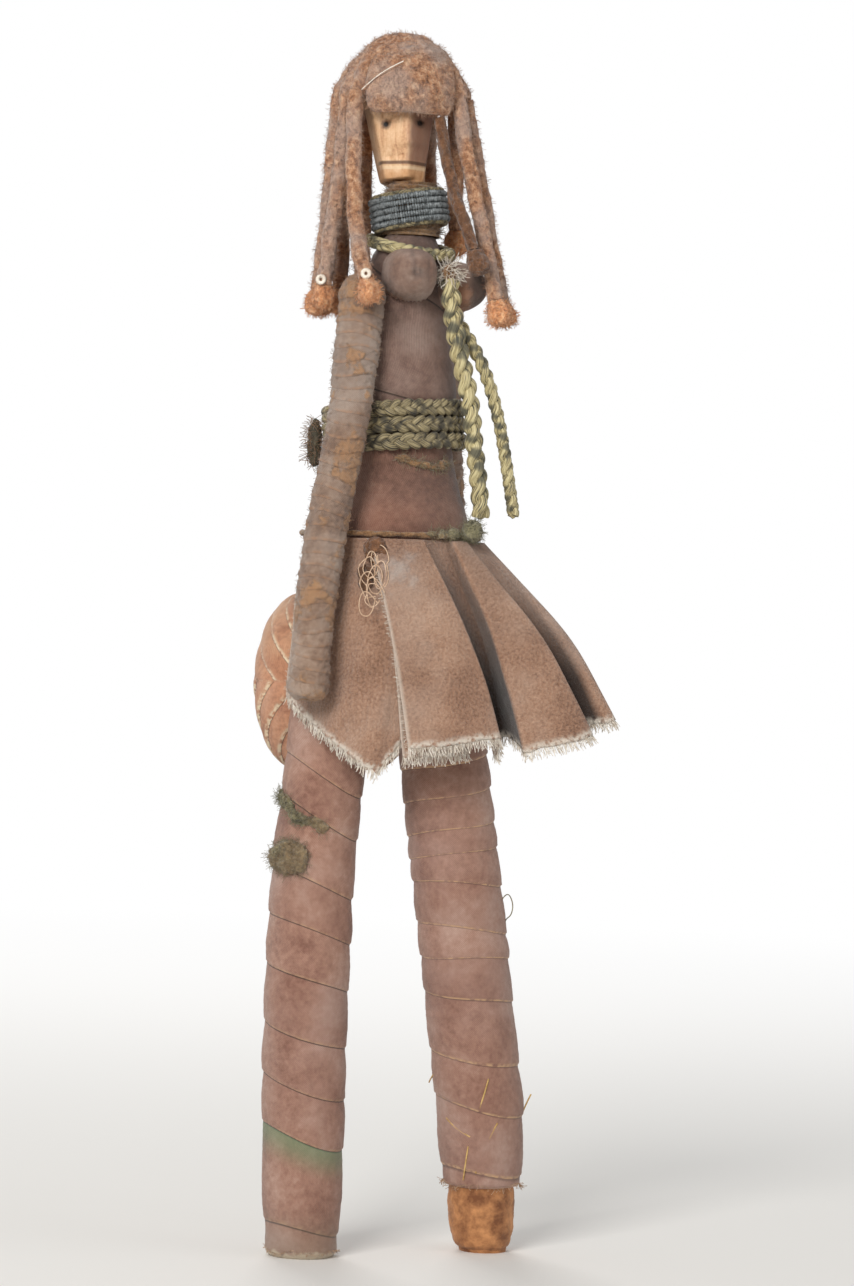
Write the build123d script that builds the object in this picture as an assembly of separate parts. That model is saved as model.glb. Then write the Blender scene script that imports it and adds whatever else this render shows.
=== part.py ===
"""A wrapped fertility doll: carved wooden head, corded hair, cloth-wound limbs, belt and gathered skirt.

Millimetres. The doll faces -Y, its right side is -X and it stands on z = 0.
Everything is placed from the trunk's upright axis, and moved once, on export, so that the
origin lies under the middle of the whole doll.
"""
import os
from math import atan2, cos, degrees, pi, radians, sin, tan

from build123d import *

# ---- driving dimensions -------------------------------------------------------------------
TRUNK_FROM_ORIGIN = (-1.5, 7.8)   # the splayed left leg and the flared skirt shift the middle

SEAT = 0.3              # gap between a soft piece and what it is wound or laid on
PAST = 1.0              # how far a cutting shape runs on past the face that it cuts
CUTTER = 300.0          # side of the boxes that cut away everything on one side of a plane
RUNNING = 0.05          # radial gap of the shoulder cord in the arms
SEAM_TURN = 48.0        # the wound seams drop, and the collar rises, towards this turn from ahead

# trunk
LEG_CORE_TOP = 178.0
CORE = [(LEG_CORE_TOP + 3.0, 0.0, 0.0, 8.0), (224.0, 0.0, 0.0, 8.0), (243.0, 0.0, -2.2, 6.2)]
BELT_Z = 203.0
CHEST = [  # height, radius, and how far forward the wrap leans at that height
    (BELT_Z - 4.0, 14.2, 0.0), (210.0, 14.6, 0.0), (218.0, 13.8, 0.0), (226.0, 12.6, 0.1),
    (236.0, 10.9, 0.8), (243.0, 9.1, 2.2), (247.0, 7.2, 3.1), (249.5, 5.8, 3.5),
]
HIP = [  # height, half width, half depth
    (159.0, 20.4, 16.6), (164.0, 20.8, 17.8), (170.0, 20.7, 18.8), (177.0, 19.8, 19.4),
    (182.0, 18.5, 18.5), (188.0, 16.6, 16.6), (194.0, 15.0, 15.0), (BELT_Z - 4.3, 14.2, 14.2),
]

# shoulders and arms
SHOULDER_Z = 234.0
SHOULDER_RIGHT = (-16.2, -4.9)
SHOULDER_LEFT = (16.4, 2.8)
SHOULDER_CORD_R = 1.2
CORD_PAST_MIDDLE = 2.4   # how far the shoulder cord goes past the middle of each arm's head
ARM_CORE_SEAT = 1.0      # cloth between the shoulder cord and the arm's core
SHOULDER_HEAD_R = 5.3
ARM_CORE_R = 2.0
ARM_PITCH = 5.0
ARM_SEAM_SLOPE = 16.0
ARM_STEP = 0.45          # how far one turn of cloth stands out from the next
# stations down each arm: height, x, y, radius
RIGHT_ARM = [
    (SHOULDER_Z, *SHOULDER_RIGHT, 5.2), (219.0, -19.0, -6.6, 5.0), (204.0, -22.4, -8.6, 4.6),
    (186.0, -25.6, -8.0, 4.7), (170.0, -28.2, -7.6, 4.7), (150.0, -30.4, -7.6, 4.3),
    (136.0, -31.2, -7.6, 4.8),
]
LEFT_ARM = [
    (SHOULDER_Z, *SHOULDER_LEFT, 5.2), (219.0, 18.9, 5.4, 5.0), (204.0, 22.4, 7.6, 4.6),
    (186.0, 25.6, 9.0, 4.7), (170.0, 28.6, 9.4, 4.7), (150.0, 31.4, 8.8, 4.3),
    (137.0, 32.2, 8.2, 4.8),
]

# legs
HIP_BOTTOM = HIP[0][0]
LEG_CORE_R = 6.6
LEG_PITCH = 12.5
LEG_SEAM_SLOPE = 18.0
LEG_STEP = 0.7
RIGHT_LEG = [
    (HIP_BOTTOM - SEAT, -12.6, 4.6, 8.6), (119.0, -13.6, 5.6, 9.2), (97.0, -16.0, 5.4, 9.5),
    (62.0, -17.2, 5.2, 9.5), (30.0, -16.6, 5.2, 9.2), (0.0, -15.7, 5.3, 8.2),
]
LEFT_LEG = [
    (HIP_BOTTOM - SEAT, 10.4, -6.0, 9.0), (119.0, 13.4, -8.4, 10.4), (97.0, 17.2, -9.0, 10.4),
    (62.0, 23.4, -9.4, 10.3), (30.0, 28.6, -9.7, 10.0), (0.0, 30.6, -9.8, 9.4),
]
LEFT_WRAP_HEM = 16.5     # the left leg's wrap ends here and its core shows below
FOOT_R = 5.8             # radius of a leg's core at the sole
STUMP_R = 7.5            # the left leg's core is padded out to this below its wrap
YARN_Z, YARN_TURN, YARN_OUT, YARN_HALF = 97.5, -78.0, 10.4, (5.6, 2.6, 4.4)

# head, neck and collar
NECK = (0.0, -3.6)
NECK_PEG_R, NECK_PEG_BOTTOM = 3.0, 236.6
CHIN_Z = 263.0
HEAD_CENTRE = (-0.6, 0.2)
HEAD_TURN = -30.0        # the face looks a little to the doll's right
HEAD_LEAN = 6.0          # chin forward
FACE = [  # height above the chin, half width, ridge reach, reach of the face's edges, back
    (0.0, 4.9, 8.2, 5.2, 5.0), (2.2, 5.3, 9.2, 5.2, 6.2), (7.2, 6.1, 10.4, 5.6, 8.0),
    (8.0, 6.3, 11.8, 5.8, 7.8), (20.0, 8.2, 11.0, 6.0, 8.6), (29.0, 6.6, 7.0, 4.6, 6.4),
]
EYE_UP, EYE_OUT, EYE_R, EYE_DEEP = 14.2, 4.2, 0.75, 1.2
MOUTH_UP, MOUTH_HALF, MOUTH_TALL, MOUTH_DEEP = 5.4, 4.7, 1.1, 0.9
COLLAR_R, COLLAR_ROWS, COLLAR_ROW, COLLAR_Z = 9.7, 5, 1.5, 252.4
COLLAR_TILT = 6.0
BAND_R, BAND_WALL, BAND_PEEK = 8.2, 0.8, 0.8
NECK_FOOT_R, NECK_TOP_R = 6.6, 5.0

# hair
HAIR = (-0.2, 1.4)       # middle of the hair, from the trunk's axis
CROWN = [  # radius, height
    (0.0, 299.8), (6.2, 299.4), (8.6, 297.4), (12.4, 293.4), (16.2, 288.0), (17.6, 284.6),
]
CROWN_HOLLOW = [(12.4, 284.6), (10.4, 292.8)]
FRINGE = [(11.5, 279.3), (14.6, 279.3), (15.8, 284.4), (15.0, 290.0), (13.2, 293.4), (10.6, 293.4)]
FRINGE_SPAN = 100.0
LOCK_D = 4.0
BRAID_NEAR_D, BRAID_FAR_D, NECK_CORD_D = 5.4, 4.0, 3.8
TUFT_LONG, TUFT_R = 6.2, 3.0
BEAD_UP, BEAD_R, BEAD_BORE, BEAD_TURN = 2.8, 1.5, 0.4, -42.0
NECK_CORD_Z, NECK_CORD_REACH, NECK_CORD_TILT, KNOT_R = 247.2, 10.0, 13.0, 1.8

# belt and skirt
BELT_INNER, BELT_THICK, BELT_TURNS, BELT_TURN, BELT_TILT = 15.3, 2.1, 3, 4.0, 3.5
BELT_KNOT_TURN, BELT_KNOT_R, BELT_KNOT_TALL = -138.0, 1.8, 12.0
SKIRT_TOP, SKIRT_CUT = 175.2, 117.0
CLOTH = 1.2
WAIST_CORD_R, WAIST_R = 0.9, 21.8
SKIRT_KNOT_TURN, SKIRT_KNOT_R, SKIRT_KNOT_UP = 10.0, 2.3, 1.5

# breasts and buttocks
BREAST_R, BREAST_TIP = 6.7, 21.8        # radius, and how far the tip is from the trunk's axis
BREASTS = {"breast_right": (-30.0, 239.8), "breast_left": (42.0, 238.0)}   # turn, height
BUTTOCK_HALF = (11.4, 21.4)
BUTTOCK_AT = (11.7, 17.6, 140.0)

# ---- routes of the free cords: turn from straight ahead, distance from the axis, height ------
# Round the middle of the hair; the first six are the ones in front and on the right.
LOCKS = [
    [(-120, 15.4, 284.2), (-121, 16.3, 275.0), (-119, 16.9, 263.0), (-120, 17.4, 251.0),
     (-122, 18.7, 240.2)],
    [(-88, 15.4, 284.2), (-86, 16.4, 274.5), (-82, 16.9, 263.5), (-75, 18.3, 253.4),
     (-65, 21.4, 245.6), (-57, 24.8, 239.4)],
    [(-104, 15.0, 284.2), (-103, 15.9, 274.0), (-104, 16.4, 262.0), (-101, 17.0, 250.5),
     (-101, 17.6, 240.0)],
    [(4, 13.0, 278.8), (8, 14.4, 271.0), (12, 16.4, 261.5), (18, 19.6, 252.6)],
    [(28, 14.8, 284.2), (28, 16.6, 274.0), (31, 19.6, 262.5), (34, 23.2, 251.0),
     (28, 26.2, 240.6)],
    [(49, 15.6, 284.0), (50, 17.6, 274.5), (47, 20.6, 263.5), (49, 23.2, 252.5),
     (49, 26.4, 241.6)],
    [(80, 15.2, 284.2), (78, 16.2, 274.5), (81, 16.6, 263.5), (79, 17.0, 253.0)],
    [(111, 15.2, 284.2), (113, 16.2, 273.0), (110, 16.6, 260.0), (112, 17.2, 247.5)],
    [(141, 15.2, 284.2), (139, 16.0, 273.5), (142, 16.2, 260.5), (140, 15.8, 248.0),
     (142, 15.4, 238.0)],
    [(171, 15.2, 284.2), (173, 15.8, 272.5), (170, 16.0, 259.5), (172, 15.6, 246.5),
     (170, 15.4, 236.5)],
    [(-165, 15.2, 284.2), (-167, 16.0, 273.5), (-163, 16.4, 260.5), (-166, 16.4, 247.5),
     (-164, 16.0, 237.5)],
    [(-142, 15.2, 284.2), (-144, 16.2, 272.5), (-141, 16.8, 259.5), (-143, 17.4, 246.5),
     (-141, 18.0, 236.5)],
]
BEADED = (0, 1)          # the locks that end in a white bead
# Round the trunk's axis.
BRAID_NEAR = [
    (6, 16.6, 238.6), (8, 17.4, 230.0), (14, 18.6, 220.6), (23, 20.4, 209.5), (28, 21.0, 199.0),
    (32, 22.2, 189.5), (32, 22.9, 182.0),
]
BRAID_FAR = [
    (24, 15.0, 229.4), (29, 17.0, 223.4), (34, 19.8, 215.5), (38, 22.6, 206.0), (40, 25.4, 196.5),
    (42, 27.8, 188.0), (43, 29.6, 181.4),
]

# ---- the skirt's panels, seen from above: turn and distance of the cloth at waist and hem ----
SIDE_PANEL = [
    (-112, 21.9, -109, 26.4), (-96, 21.5, -95, 25.2), (-80, 21.4, -82, 25.0),
    (-64, 21.4, -68, 25.6), (-46, 21.4, -55, 26.8), (-25, 21.4, -43, 27.6),
]
FRONT_PANEL = [
    (-60, 23.0, -31, 31.0), (-50, 23.0, -22, 31.6), (-38, 23.1, -12, 33.0), (-26, 23.4, -2, 34.6),
    (-14, 23.6, 7, 35.6), (-8, 22.9, 9, 30.5), (-1, 23.0, 10.5, 35.0), (5, 23.8, 12.5, 41.6),
    (14, 23.6, 20, 48.6), (23, 23.4, 27, 54.0), (32, 23.4, 34.5, 58.6), (40, 23.0, 39, 53.0),
    (48, 22.8, 45, 43.0), (58, 22.8, 55, 34.6), (70, 22.8, 68, 30.0), (84, 22.8, 83, 28.0),
    (97, 22.8, 97, 26.8),
]
SKIRT_MID_Z, SKIRT_BELLY = 157.0, 0.55   # the flare bellies out: most of its reach by mid height
SIDE_HEM = (119.5, -19.0, 0.62)          # height at that y, rise per mm towards the back
FRONT_HEM = (127.5, 0.0, 0.168)          # height at that x, rise per mm towards the left


# ---- helpers ---------------------------------------------------------------------------------
def save(name, shape):
    export_step(Pos(*TRUNK_FROM_ORIGIN, 0) * shape, f"parts/{name}.step")


def polar(turn, reach, z, centre=(0.0, 0.0)):
    """A point by its turn from straight ahead (towards the doll's left) and its reach."""
    return Vector(centre[0] + reach * sin(radians(turn)), centre[1] - reach * cos(radians(turn)), z)


def along(stations, z):
    """The values of the stations at height z, and straight on past their ends."""
    rows = sorted(stations)
    for low, high in zip(rows, rows[1:]):
        if z <= high[0] or high is rows[-1]:
            share = (z - low[0]) / (high[0] - low[0])
            return tuple(a + share * (b - a) for a, b in zip(low[1:], high[1:]))


def rod(stations, radius=None, grow=0.0):
    """A round rod through level circles at (height, x, y, radius)."""
    return loft([Pos(x, y, z) * Circle((radius or r) + grow) for z, x, y, r in stations], ruled=True)


def stretch(stations, low, high):
    """The stations between two heights, with ends exactly there."""
    inner = [row for row in sorted(stations) if low < row[0] < high]
    return [(low, *along(stations, low)), *inner, (high, *along(stations, high))]


def bar(start, end, radius):
    start, end = Vector(*start), Vector(*end)
    axis = Plane(origin=(start + end) / 2, z_dir=end - start)
    return axis * Cylinder(radius, (end - start).length)


def slab(low, high):
    return Pos(0, 0, (low + high) / 2) * Box(CUTTER, CUTTER, high - low)


def wound(stations, pitch, slope, step, low, high):
    """Cloth strip wound round a rod: slanting turns, each standing out a step at its lower edge."""
    tilt = tan(radians(slope))
    across = polar(SEAM_TURN, 1, 0)
    normal = Vector(tilt * across.X, tilt * across.Y, 1)
    margin = tilt * max(row[3] for row in stations) + pitch
    turns = int((high - low + 2 * margin) / pitch) + 1
    sections = []
    for turn in range(turns):
        for z, out in ((0.06, step), (1.0, 0.0)):
            height = low - margin + pitch * (turn + z)
            x, y, r = along(stations, height)
            plane = Plane(origin=(x, y, height), x_dir=across - Vector(0, 0, tilt), z_dir=normal)
            sections.append(plane * Ellipse((r + out) / cos(radians(slope)), r + out))
    return loft(sections, ruled=True) & slab(low, high)


def tube(points, diameter):
    """A round cord: straight runs joined by arcs as large as their runs allow."""
    runs = [(b - a).length for a, b in zip(points, points[1:])]
    radii = []
    for i in range(1, len(points) - 1):
        turn = (points[i] - points[i - 1]).get_angle(points[i + 1] - points[i])
        radii.append(0.45 * min(runs[i - 1], runs[i]) / tan(radians(turn / 2)))
    path = FilletPolyline(*points, radius=radii)
    start = Plane(origin=points[0], z_dir=points[1] - points[0])
    cord = sweep(start * Circle(diameter / 2), path=path)
    gap = cord.volume / (pi * diameter**2 / 4 * path.length) - 1
    return cord, min(radii), gap


def strip(points, thickness):
    """The plan of a cloth of that thickness along a line of points, as a face."""
    sides = [[], []]
    for i, here in enumerate(points):
        before, after = points[max(i - 1, 0)], points[min(i + 1, len(points) - 1)]
        ways = [(b - a).normalized() for a, b in ((before, here), (here, after)) if (b - a).length]
        normals = [Vector(-way.Y, way.X) for way in ways]
        mean = (normals[0] + normals[-1]).normalized()
        reach = thickness / 2 / max(mean.dot(normals[0]), 0.5)
        for side, sign in zip(sides, (1, -1)):
            side.append(here + mean * (sign * reach))
    return make_face(Polyline(*sides[0], *reversed(sides[1]), close=True))


def panel(rows, bottom, thickness=CLOTH):
    """A gathered cloth that hangs from the waist and flares to its hem."""
    sections = []
    for z, share in ((SKIRT_TOP, 0.0), (SKIRT_MID_Z, SKIRT_BELLY), (bottom, 1.0)):
        line = []
        for turn0, reach0, turn1, reach1 in rows:
            turn, reach = turn0 + share * (turn1 - turn0), reach0 + share * (reach1 - reach0)
            line.append(polar(turn, reach, 0))
        sections.append(Pos(0, 0, z) * strip(line, thickness))
    return loft(sections, ruled=True)


# ---- the trunk ---------------------------------------------------------------------------------
def shoulder_line(past):
    """Both ends of the shoulder cord, which passes each arm's middle by that much."""
    right, left = Vector(*SHOULDER_RIGHT, SHOULDER_Z), Vector(*SHOULDER_LEFT, SHOULDER_Z)
    way = (left - right).normalized()
    return right - way * past, left + way * past


def cord_hole(clearance, past):
    return bar(*shoulder_line(past), SHOULDER_CORD_R + clearance)


def chest_form(grow=0.0):
    circles = [Pos(0, -lean, z) * Rot(0, 0, 90) * Circle(r + grow) for z, r, lean in CHEST]
    return loft(circles, ruled=True)


def hip_form(grow=0.0):
    ovals = [Pos(0, 0, z) * Ellipse(half + grow, deep + grow) for z, half, deep in HIP]
    return loft(ovals, ruled=True)


def leg_core(stations, hem):
    """The rod inside a leg: up into the hip to the core's top, and padded out below the wrap's hem."""
    x, y, _ = along(stations, LEG_CORE_TOP)
    inside = [(z, sx, sy, LEG_CORE_R) for z, sx, sy, _ in stations if z > hem]
    stump = []
    if hem:
        for z, radius in ((hem, LEG_CORE_R), (hem - SEAT, STUMP_R), (hem / 2, STUMP_R)):
            stump.append((z, *along(stations, z)[:2], radius))
    sole = (0.0, *along(stations, 0.0)[:2], FOOT_R)
    return [(LEG_CORE_TOP, x, y, LEG_CORE_R), *inside, *stump, sole]


RIGHT_CORE, LEFT_CORE = leg_core(RIGHT_LEG, 0.0), leg_core(LEFT_LEG, LEFT_WRAP_HEM)


def trunk():
    peg = Pos(*NECK, NECK_PEG_BOTTOM) * Cylinder(
        NECK_PEG_R + SEAT, 30, align=(Align.CENTER, Align.CENTER, Align.MIN)
    )
    hole = cord_hole(SEAT, 0.0)
    save("trunk_core", rod(CORE) - peg - hole)
    bore = rod(stretch(CORE, CHEST[0][0] - PAST, CORE[-1][0] + SEAT), grow=SEAT)
    save("chest_wrap", chest_form() - bore - peg - hole)
    hip = hip_form() - rod(stretch(CORE, CORE[0][0] - SEAT, HIP[-1][0] + PAST), grow=SEAT)
    for core in (RIGHT_CORE, LEFT_CORE):
        hip -= rod(stretch(core, HIP_BOTTOM - PAST, LEG_CORE_TOP + SEAT), grow=SEAT)
    save("hip_wrap", hip)
    save("shoulder_cord", cord_hole(0.0, CORD_PAST_MIDDLE))


def breasts():
    around = chest_form(SEAT) + neck_ring(SEAT)
    for name, (turn, z) in BREASTS.items():
        dome = Spline(
            (BREAST_R, 0), (BREAST_R * 0.9, BREAST_TIP * 0.68), (BREAST_R * 0.45, BREAST_TIP * 0.94),
            (0, BREAST_TIP), tangents=[(0, 1), (-1, 0)],
        )
        profile = make_face(dome + Polyline((0, BREAST_TIP), (0, 0), (BREAST_R, 0)))
        pad = revolve(Plane.XZ * profile, Axis.Z)
        pad = Plane(origin=(0, 0, z), z_dir=polar(turn, 1, 0)) * pad
        save(name, keep_largest(pad - around))


def keep_largest(shape):
    return max(shape.solids(), key=lambda solid: solid.volume)


def buttocks():
    x, y, z = BUTTOCK_AT
    half, tall = BUTTOCK_HALF
    around = hip_form(SEAT)
    for leg in (RIGHT_LEG, LEFT_LEG):
        around += rod(stretch(leg, z - 2 * tall, HIP_BOTTOM + SEAT), grow=LEG_STEP + SEAT)
    for name, side in (("buttock_right", -1), ("buttock_left", 1)):
        angles = [radians(step * 15) for step in range(-6, 7)]
        pad = turned([(half * max(cos(a), 0.0), tall * sin(a)) for a in angles])
        save(name, keep_largest(Pos(side * x, y, z) * pad - around))


# ---- arms and legs ---------------------------------------------------------------------------
def arms():
    for name, stations, end in (("right_arm", RIGHT_ARM, 0), ("left_arm", LEFT_ARM, 1)):
        shoulder, hand = stations[0][0], stations[-1][0]
        core = stretch(stations, hand, shoulder - SHOULDER_CORD_R - ARM_CORE_SEAT)
        wrap = wound(stations, ARM_PITCH, ARM_SEAM_SLOPE, ARM_STEP, hand, shoulder)
        wrap += Pos(*stations[0][1:3], shoulder) * Sphere(SHOULDER_HEAD_R)
        bore = stretch(stations, hand - PAST, core[-1][0] + SEAT)
        middle, far = shoulder_line(0.0)[end], shoulder_line(CORD_PAST_MIDDLE + SEAT)[end]
        mouth = middle + (middle - far).normalized() * (2 * SHOULDER_HEAD_R)
        wrap -= rod(bore, ARM_CORE_R, SEAT) + bar(mouth, far, SHOULDER_CORD_R + RUNNING)
        save(f"{name}_wrap", wrap)
        save(f"{name}_core", rod(core, ARM_CORE_R))


def legs():
    for name, stations, core, hem in (
        ("right_leg", RIGHT_LEG, RIGHT_CORE, 0.0), ("left_leg", LEFT_LEG, LEFT_CORE, LEFT_WRAP_HEM)
    ):
        top = stations[0][0]
        wrap = wound(stations, LEG_PITCH, LEG_SEAM_SLOPE, LEG_STEP, hem, top)
        bore = rod(stretch(core, hem - PAST, top + PAST), grow=SEAT)
        save(f"{name}_wrap", wrap - bore)
        save(f"{name}_core", rod(core))
    x, y, _ = along(RIGHT_LEG, YARN_Z)
    yarn = Pos(0, YARN_OUT, 0) * scale(Sphere(1.0), by=YARN_HALF)
    yarn = Plane(origin=(x, y, YARN_Z), x_dir=polar(YARN_TURN - 90, 1, 0)) * yarn
    near = 4 * YARN_HALF[0]
    around = rod(stretch(RIGHT_LEG, YARN_Z - near, YARN_Z + near), grow=LEG_STEP + SEAT)
    save("thigh_yarn", keep_largest(yarn - around))


# ---- head, neck and hair -----------------------------------------------------------------------
def face_section(values):
    half, ridge, edge, back = values
    right = [(half, -edge), (half, back * 0.3), (half * 0.55, back)]
    return make_face(
        Polyline((0, -ridge), *right, *[(-x, y) for x, y in reversed(right)], close=True)
    )


def head():
    sections = [Pos(0, 0, row[0]) * face_section(row[1:]) for row in FACE]
    block = loft(sections, ruled=True)
    half, ridge, edge, _ = along(FACE, EYE_UP)
    eye_y = -ridge + (ridge - edge) * EYE_OUT / half + EYE_DEEP
    for side in (-1, 1):
        block -= bar((side * EYE_OUT, -2 * ridge, EYE_UP), (side * EYE_OUT, eye_y, EYE_UP), EYE_R)
    mouth = face_section(along(FACE, MOUTH_UP))
    lips = extrude(mouth, MOUTH_TALL) - Pos(0, MOUTH_DEEP, 0) * extrude(mouth, MOUTH_TALL)
    lips = Pos(0, 0, MOUTH_UP - MOUTH_TALL / 2) * lips
    block -= lips & Pos(0, -ridge, MOUTH_UP) * Box(2 * MOUTH_HALF, 2 * ridge, 2 * MOUTH_TALL)
    block = Pos(*HEAD_CENTRE, CHIN_Z) * Rot(-HEAD_LEAN, 0, 0) * Rot(0, 0, HEAD_TURN) * block
    peg = bar((*NECK, NECK_PEG_BOTTOM), (*NECK, CHIN_Z + FACE[1][0]), NECK_PEG_R)
    save("head", block + peg)


def turned(profile):
    """A closed profile of (radius, height) points turned about the Z axis."""
    return revolve(make_face(Plane.XZ * Polyline(*profile, close=True)), Axis.Z)


def neck():
    inner = NECK_PEG_R + SEAT
    low, high = CHEST[-1][0] + SEAT, CHIN_Z - SEAT
    wrap = [(inner, low), (NECK_FOOT_R, low), (NECK_FOOT_R, COLLAR_Z + 5), (NECK_TOP_R, high),
            (inner, high)]
    save("neck_wrap", Pos(*NECK, 0) * turned(wrap))
    tilt = Rot(0, 0, SEAM_TURN - 90) * Rot(0, -COLLAR_TILT, 0) * Rot(0, 0, 90 - SEAM_TURN)
    seat = Pos(*NECK, COLLAR_Z) * tilt
    tall = COLLAR_ROWS * COLLAR_ROW
    outer, inner = BAND_R, BAND_R - BAND_WALL
    band = [(inner, -BAND_PEEK), (outer, -BAND_PEEK), (outer, tall + BAND_PEEK),
            (inner, tall + BAND_PEEK)]
    save("collar_band", seat * turned(band))
    rows = Part()
    for row in range(COLLAR_ROWS):
        centre, half, inside = COLLAR_ROW * (row + 0.5), COLLAR_ROW * 0.53, BAND_R + SEAT
        rows += Pos(0, 0, centre) * turned([
            (inside, -half), (COLLAR_R - half / 2, -half), (COLLAR_R, 0),
            (COLLAR_R - half / 2, half), (inside, half),
        ])
    save("collar_beads", seat * rows)


# ---- hair --------------------------------------------------------------------------------------
def tassel(point, way, radius, long):
    """A tuft of loose fibre: narrow where it is bound, full, and blunt at its end."""
    profile = [(0, 0), (radius * 0.6, 0), (radius, long * 0.45), (radius * 0.85, long), (0, long)]
    return Plane(origin=point, z_dir=way) * turned(profile)


def hair():
    crown = turned([*CROWN, *CROWN_HOLLOW, (0.0, CROWN_HOLLOW[-1][1])])
    fringe = turned(FRINGE)
    facing = Vector(*HAIR, 0)
    wedge = 4 * CROWN[-1][0]
    low, tall = FRINGE[0][1] - PAST, FRINGE[-1][1] - FRINGE[0][1] + PAST
    edges = [polar(HEAD_TURN + side * FRINGE_SPAN / 2, wedge, 0) for side in (-1, 1)]
    front = make_face(Polyline((0, 0), edges[0], edges[1], close=True))
    wider = offset(front, SEAT)
    front = Pos(0, 0, low) * extrude(front, tall + PAST)
    save("fringe_pad", Pos(*facing) * (fringe & front))
    grown = Pos(0, 0, low) * Cylinder(
        FRINGE[2][0] + SEAT, tall + SEAT, align=(Align.CENTER, Align.CENTER, Align.MIN)
    )
    grown &= Pos(0, 0, low - PAST) * extrude(wider, tall + 3 * PAST)
    save("crown_pad", keep_largest(Pos(*facing) * (crown - grown)))
    beads = []
    for i, route in enumerate(LOCKS):
        points = [polar(*row, centre=HAIR) for row in route]
        lock, least, gap = tube(points, LOCK_D)
        print(f"lock {i + 1}: least radius {least:.1f}, volume off by {gap:.4f}")
        save(f"lock_{i + 1:02d}", lock)
        way = (points[-1] - points[-2]).normalized()
        save(f"tuft_{i + 1:02d}", tassel(points[-1], way, TUFT_R, TUFT_LONG))
        if i in BEADED:
            wall = (BEAD_R - BEAD_BORE) / 2
            out = polar(BEAD_TURN, 1, 0)
            out = (out - way * out.dot(way)).normalized()
            place = points[-1] - way * BEAD_UP + out * (LOCK_D / 2 + SEAT + wall)
            beads.append(Plane(origin=place, z_dir=out) * Torus(BEAD_BORE + wall, wall))
    save("lock_beads", Compound(beads))


def neck_ring(grow=0.0):
    """The cord round the neck, lower in front, where the breasts lie over it."""
    ring = Torus(NECK_CORD_REACH, NECK_CORD_D / 2 + grow)
    return Pos(*NECK, NECK_CORD_Z) * Rot(NECK_CORD_TILT, 0, 0) * ring


def neck_plait():
    save("neck_cord", neck_ring())
    first = polar(*BRAID_NEAR[0])
    way = (first - polar(*BRAID_NEAR[1])).normalized()
    save("neck_knot", Pos(*(first + way * (KNOT_R + SEAT))) * Sphere(KNOT_R))
    for name, route, diameter in (
        ("braid_near", BRAID_NEAR, BRAID_NEAR_D), ("braid_far", BRAID_FAR, BRAID_FAR_D)
    ):
        braid, least, gap = tube([polar(*row) for row in route], diameter)
        print(f"{name}: least radius {least:.1f}, volume off by {gap:.4f}")
        save(name, braid)


# ---- belt and skirt ----------------------------------------------------------------------------
def belt():
    inner, thick = BELT_INNER, BELT_THICK
    plait = Part()
    for turn in range(BELT_TURNS):
        z = BELT_TURN * (turn - (BELT_TURNS - 1) / 2)
        half = BELT_TURN * 0.52
        plait += Pos(0, 0, z) * turned([
            (inner, -half), (inner + thick * 0.6, -half), (inner + thick, -half * 0.45),
            (inner + thick, half * 0.45), (inner + thick * 0.6, half), (inner, half),
        ])
    seat = Pos(0, 0, BELT_Z) * Rot(BELT_TILT, 0, 0)
    save("belt", seat * plait)
    knot = polar(BELT_KNOT_TURN, BELT_INNER + BELT_THICK + SEAT + BELT_KNOT_R, BELT_Z - BELT_TURN)
    save("belt_knot", Pos(*knot) * Cylinder(BELT_KNOT_R, BELT_KNOT_TALL))


def skirt():
    at_y, rise = SIDE_HEM[1:]
    lean = degrees(atan2(rise, 1))
    below = Pos(0, at_y, SIDE_HEM[0]) * Rot(lean, 0, 0) * slab(-CUTTER, 0)
    save("skirt_side", panel(SIDE_PANEL, SKIRT_CUT) - below)
    at_x, rise = FRONT_HEM[1:]
    lean = degrees(atan2(rise, 1))
    below = Pos(at_x, 0, FRONT_HEM[0]) * Rot(0, -lean, 0) * slab(-CUTTER, 0)
    save("skirt_front", panel(FRONT_PANEL, SKIRT_CUT) - below)
    z = SKIRT_TOP + SEAT + WAIST_CORD_R
    save("skirt_cord", Pos(0, 0, z) * Torus(WAIST_R, WAIST_CORD_R))
    knot = polar(SKIRT_KNOT_TURN, WAIST_R + WAIST_CORD_R + SEAT + SKIRT_KNOT_R, z + SKIRT_KNOT_UP)
    save("skirt_knot", Pos(*knot) * Sphere(SKIRT_KNOT_R))


def main():
    os.makedirs("parts", exist_ok=True)
    for build in (
        trunk, breasts, buttocks, arms, legs, head, neck, hair, neck_plait, belt, skirt
    ):
        build()
        print(build.__name__, "done", flush=True)


main()
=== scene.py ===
"""Looks of a wrapped fertility doll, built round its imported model, in metres and in the model's frame."""
from math import cos, pi, radians, sin

import bmesh
import bpy
import numpy as np
from mathutils import Matrix, Vector


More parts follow.
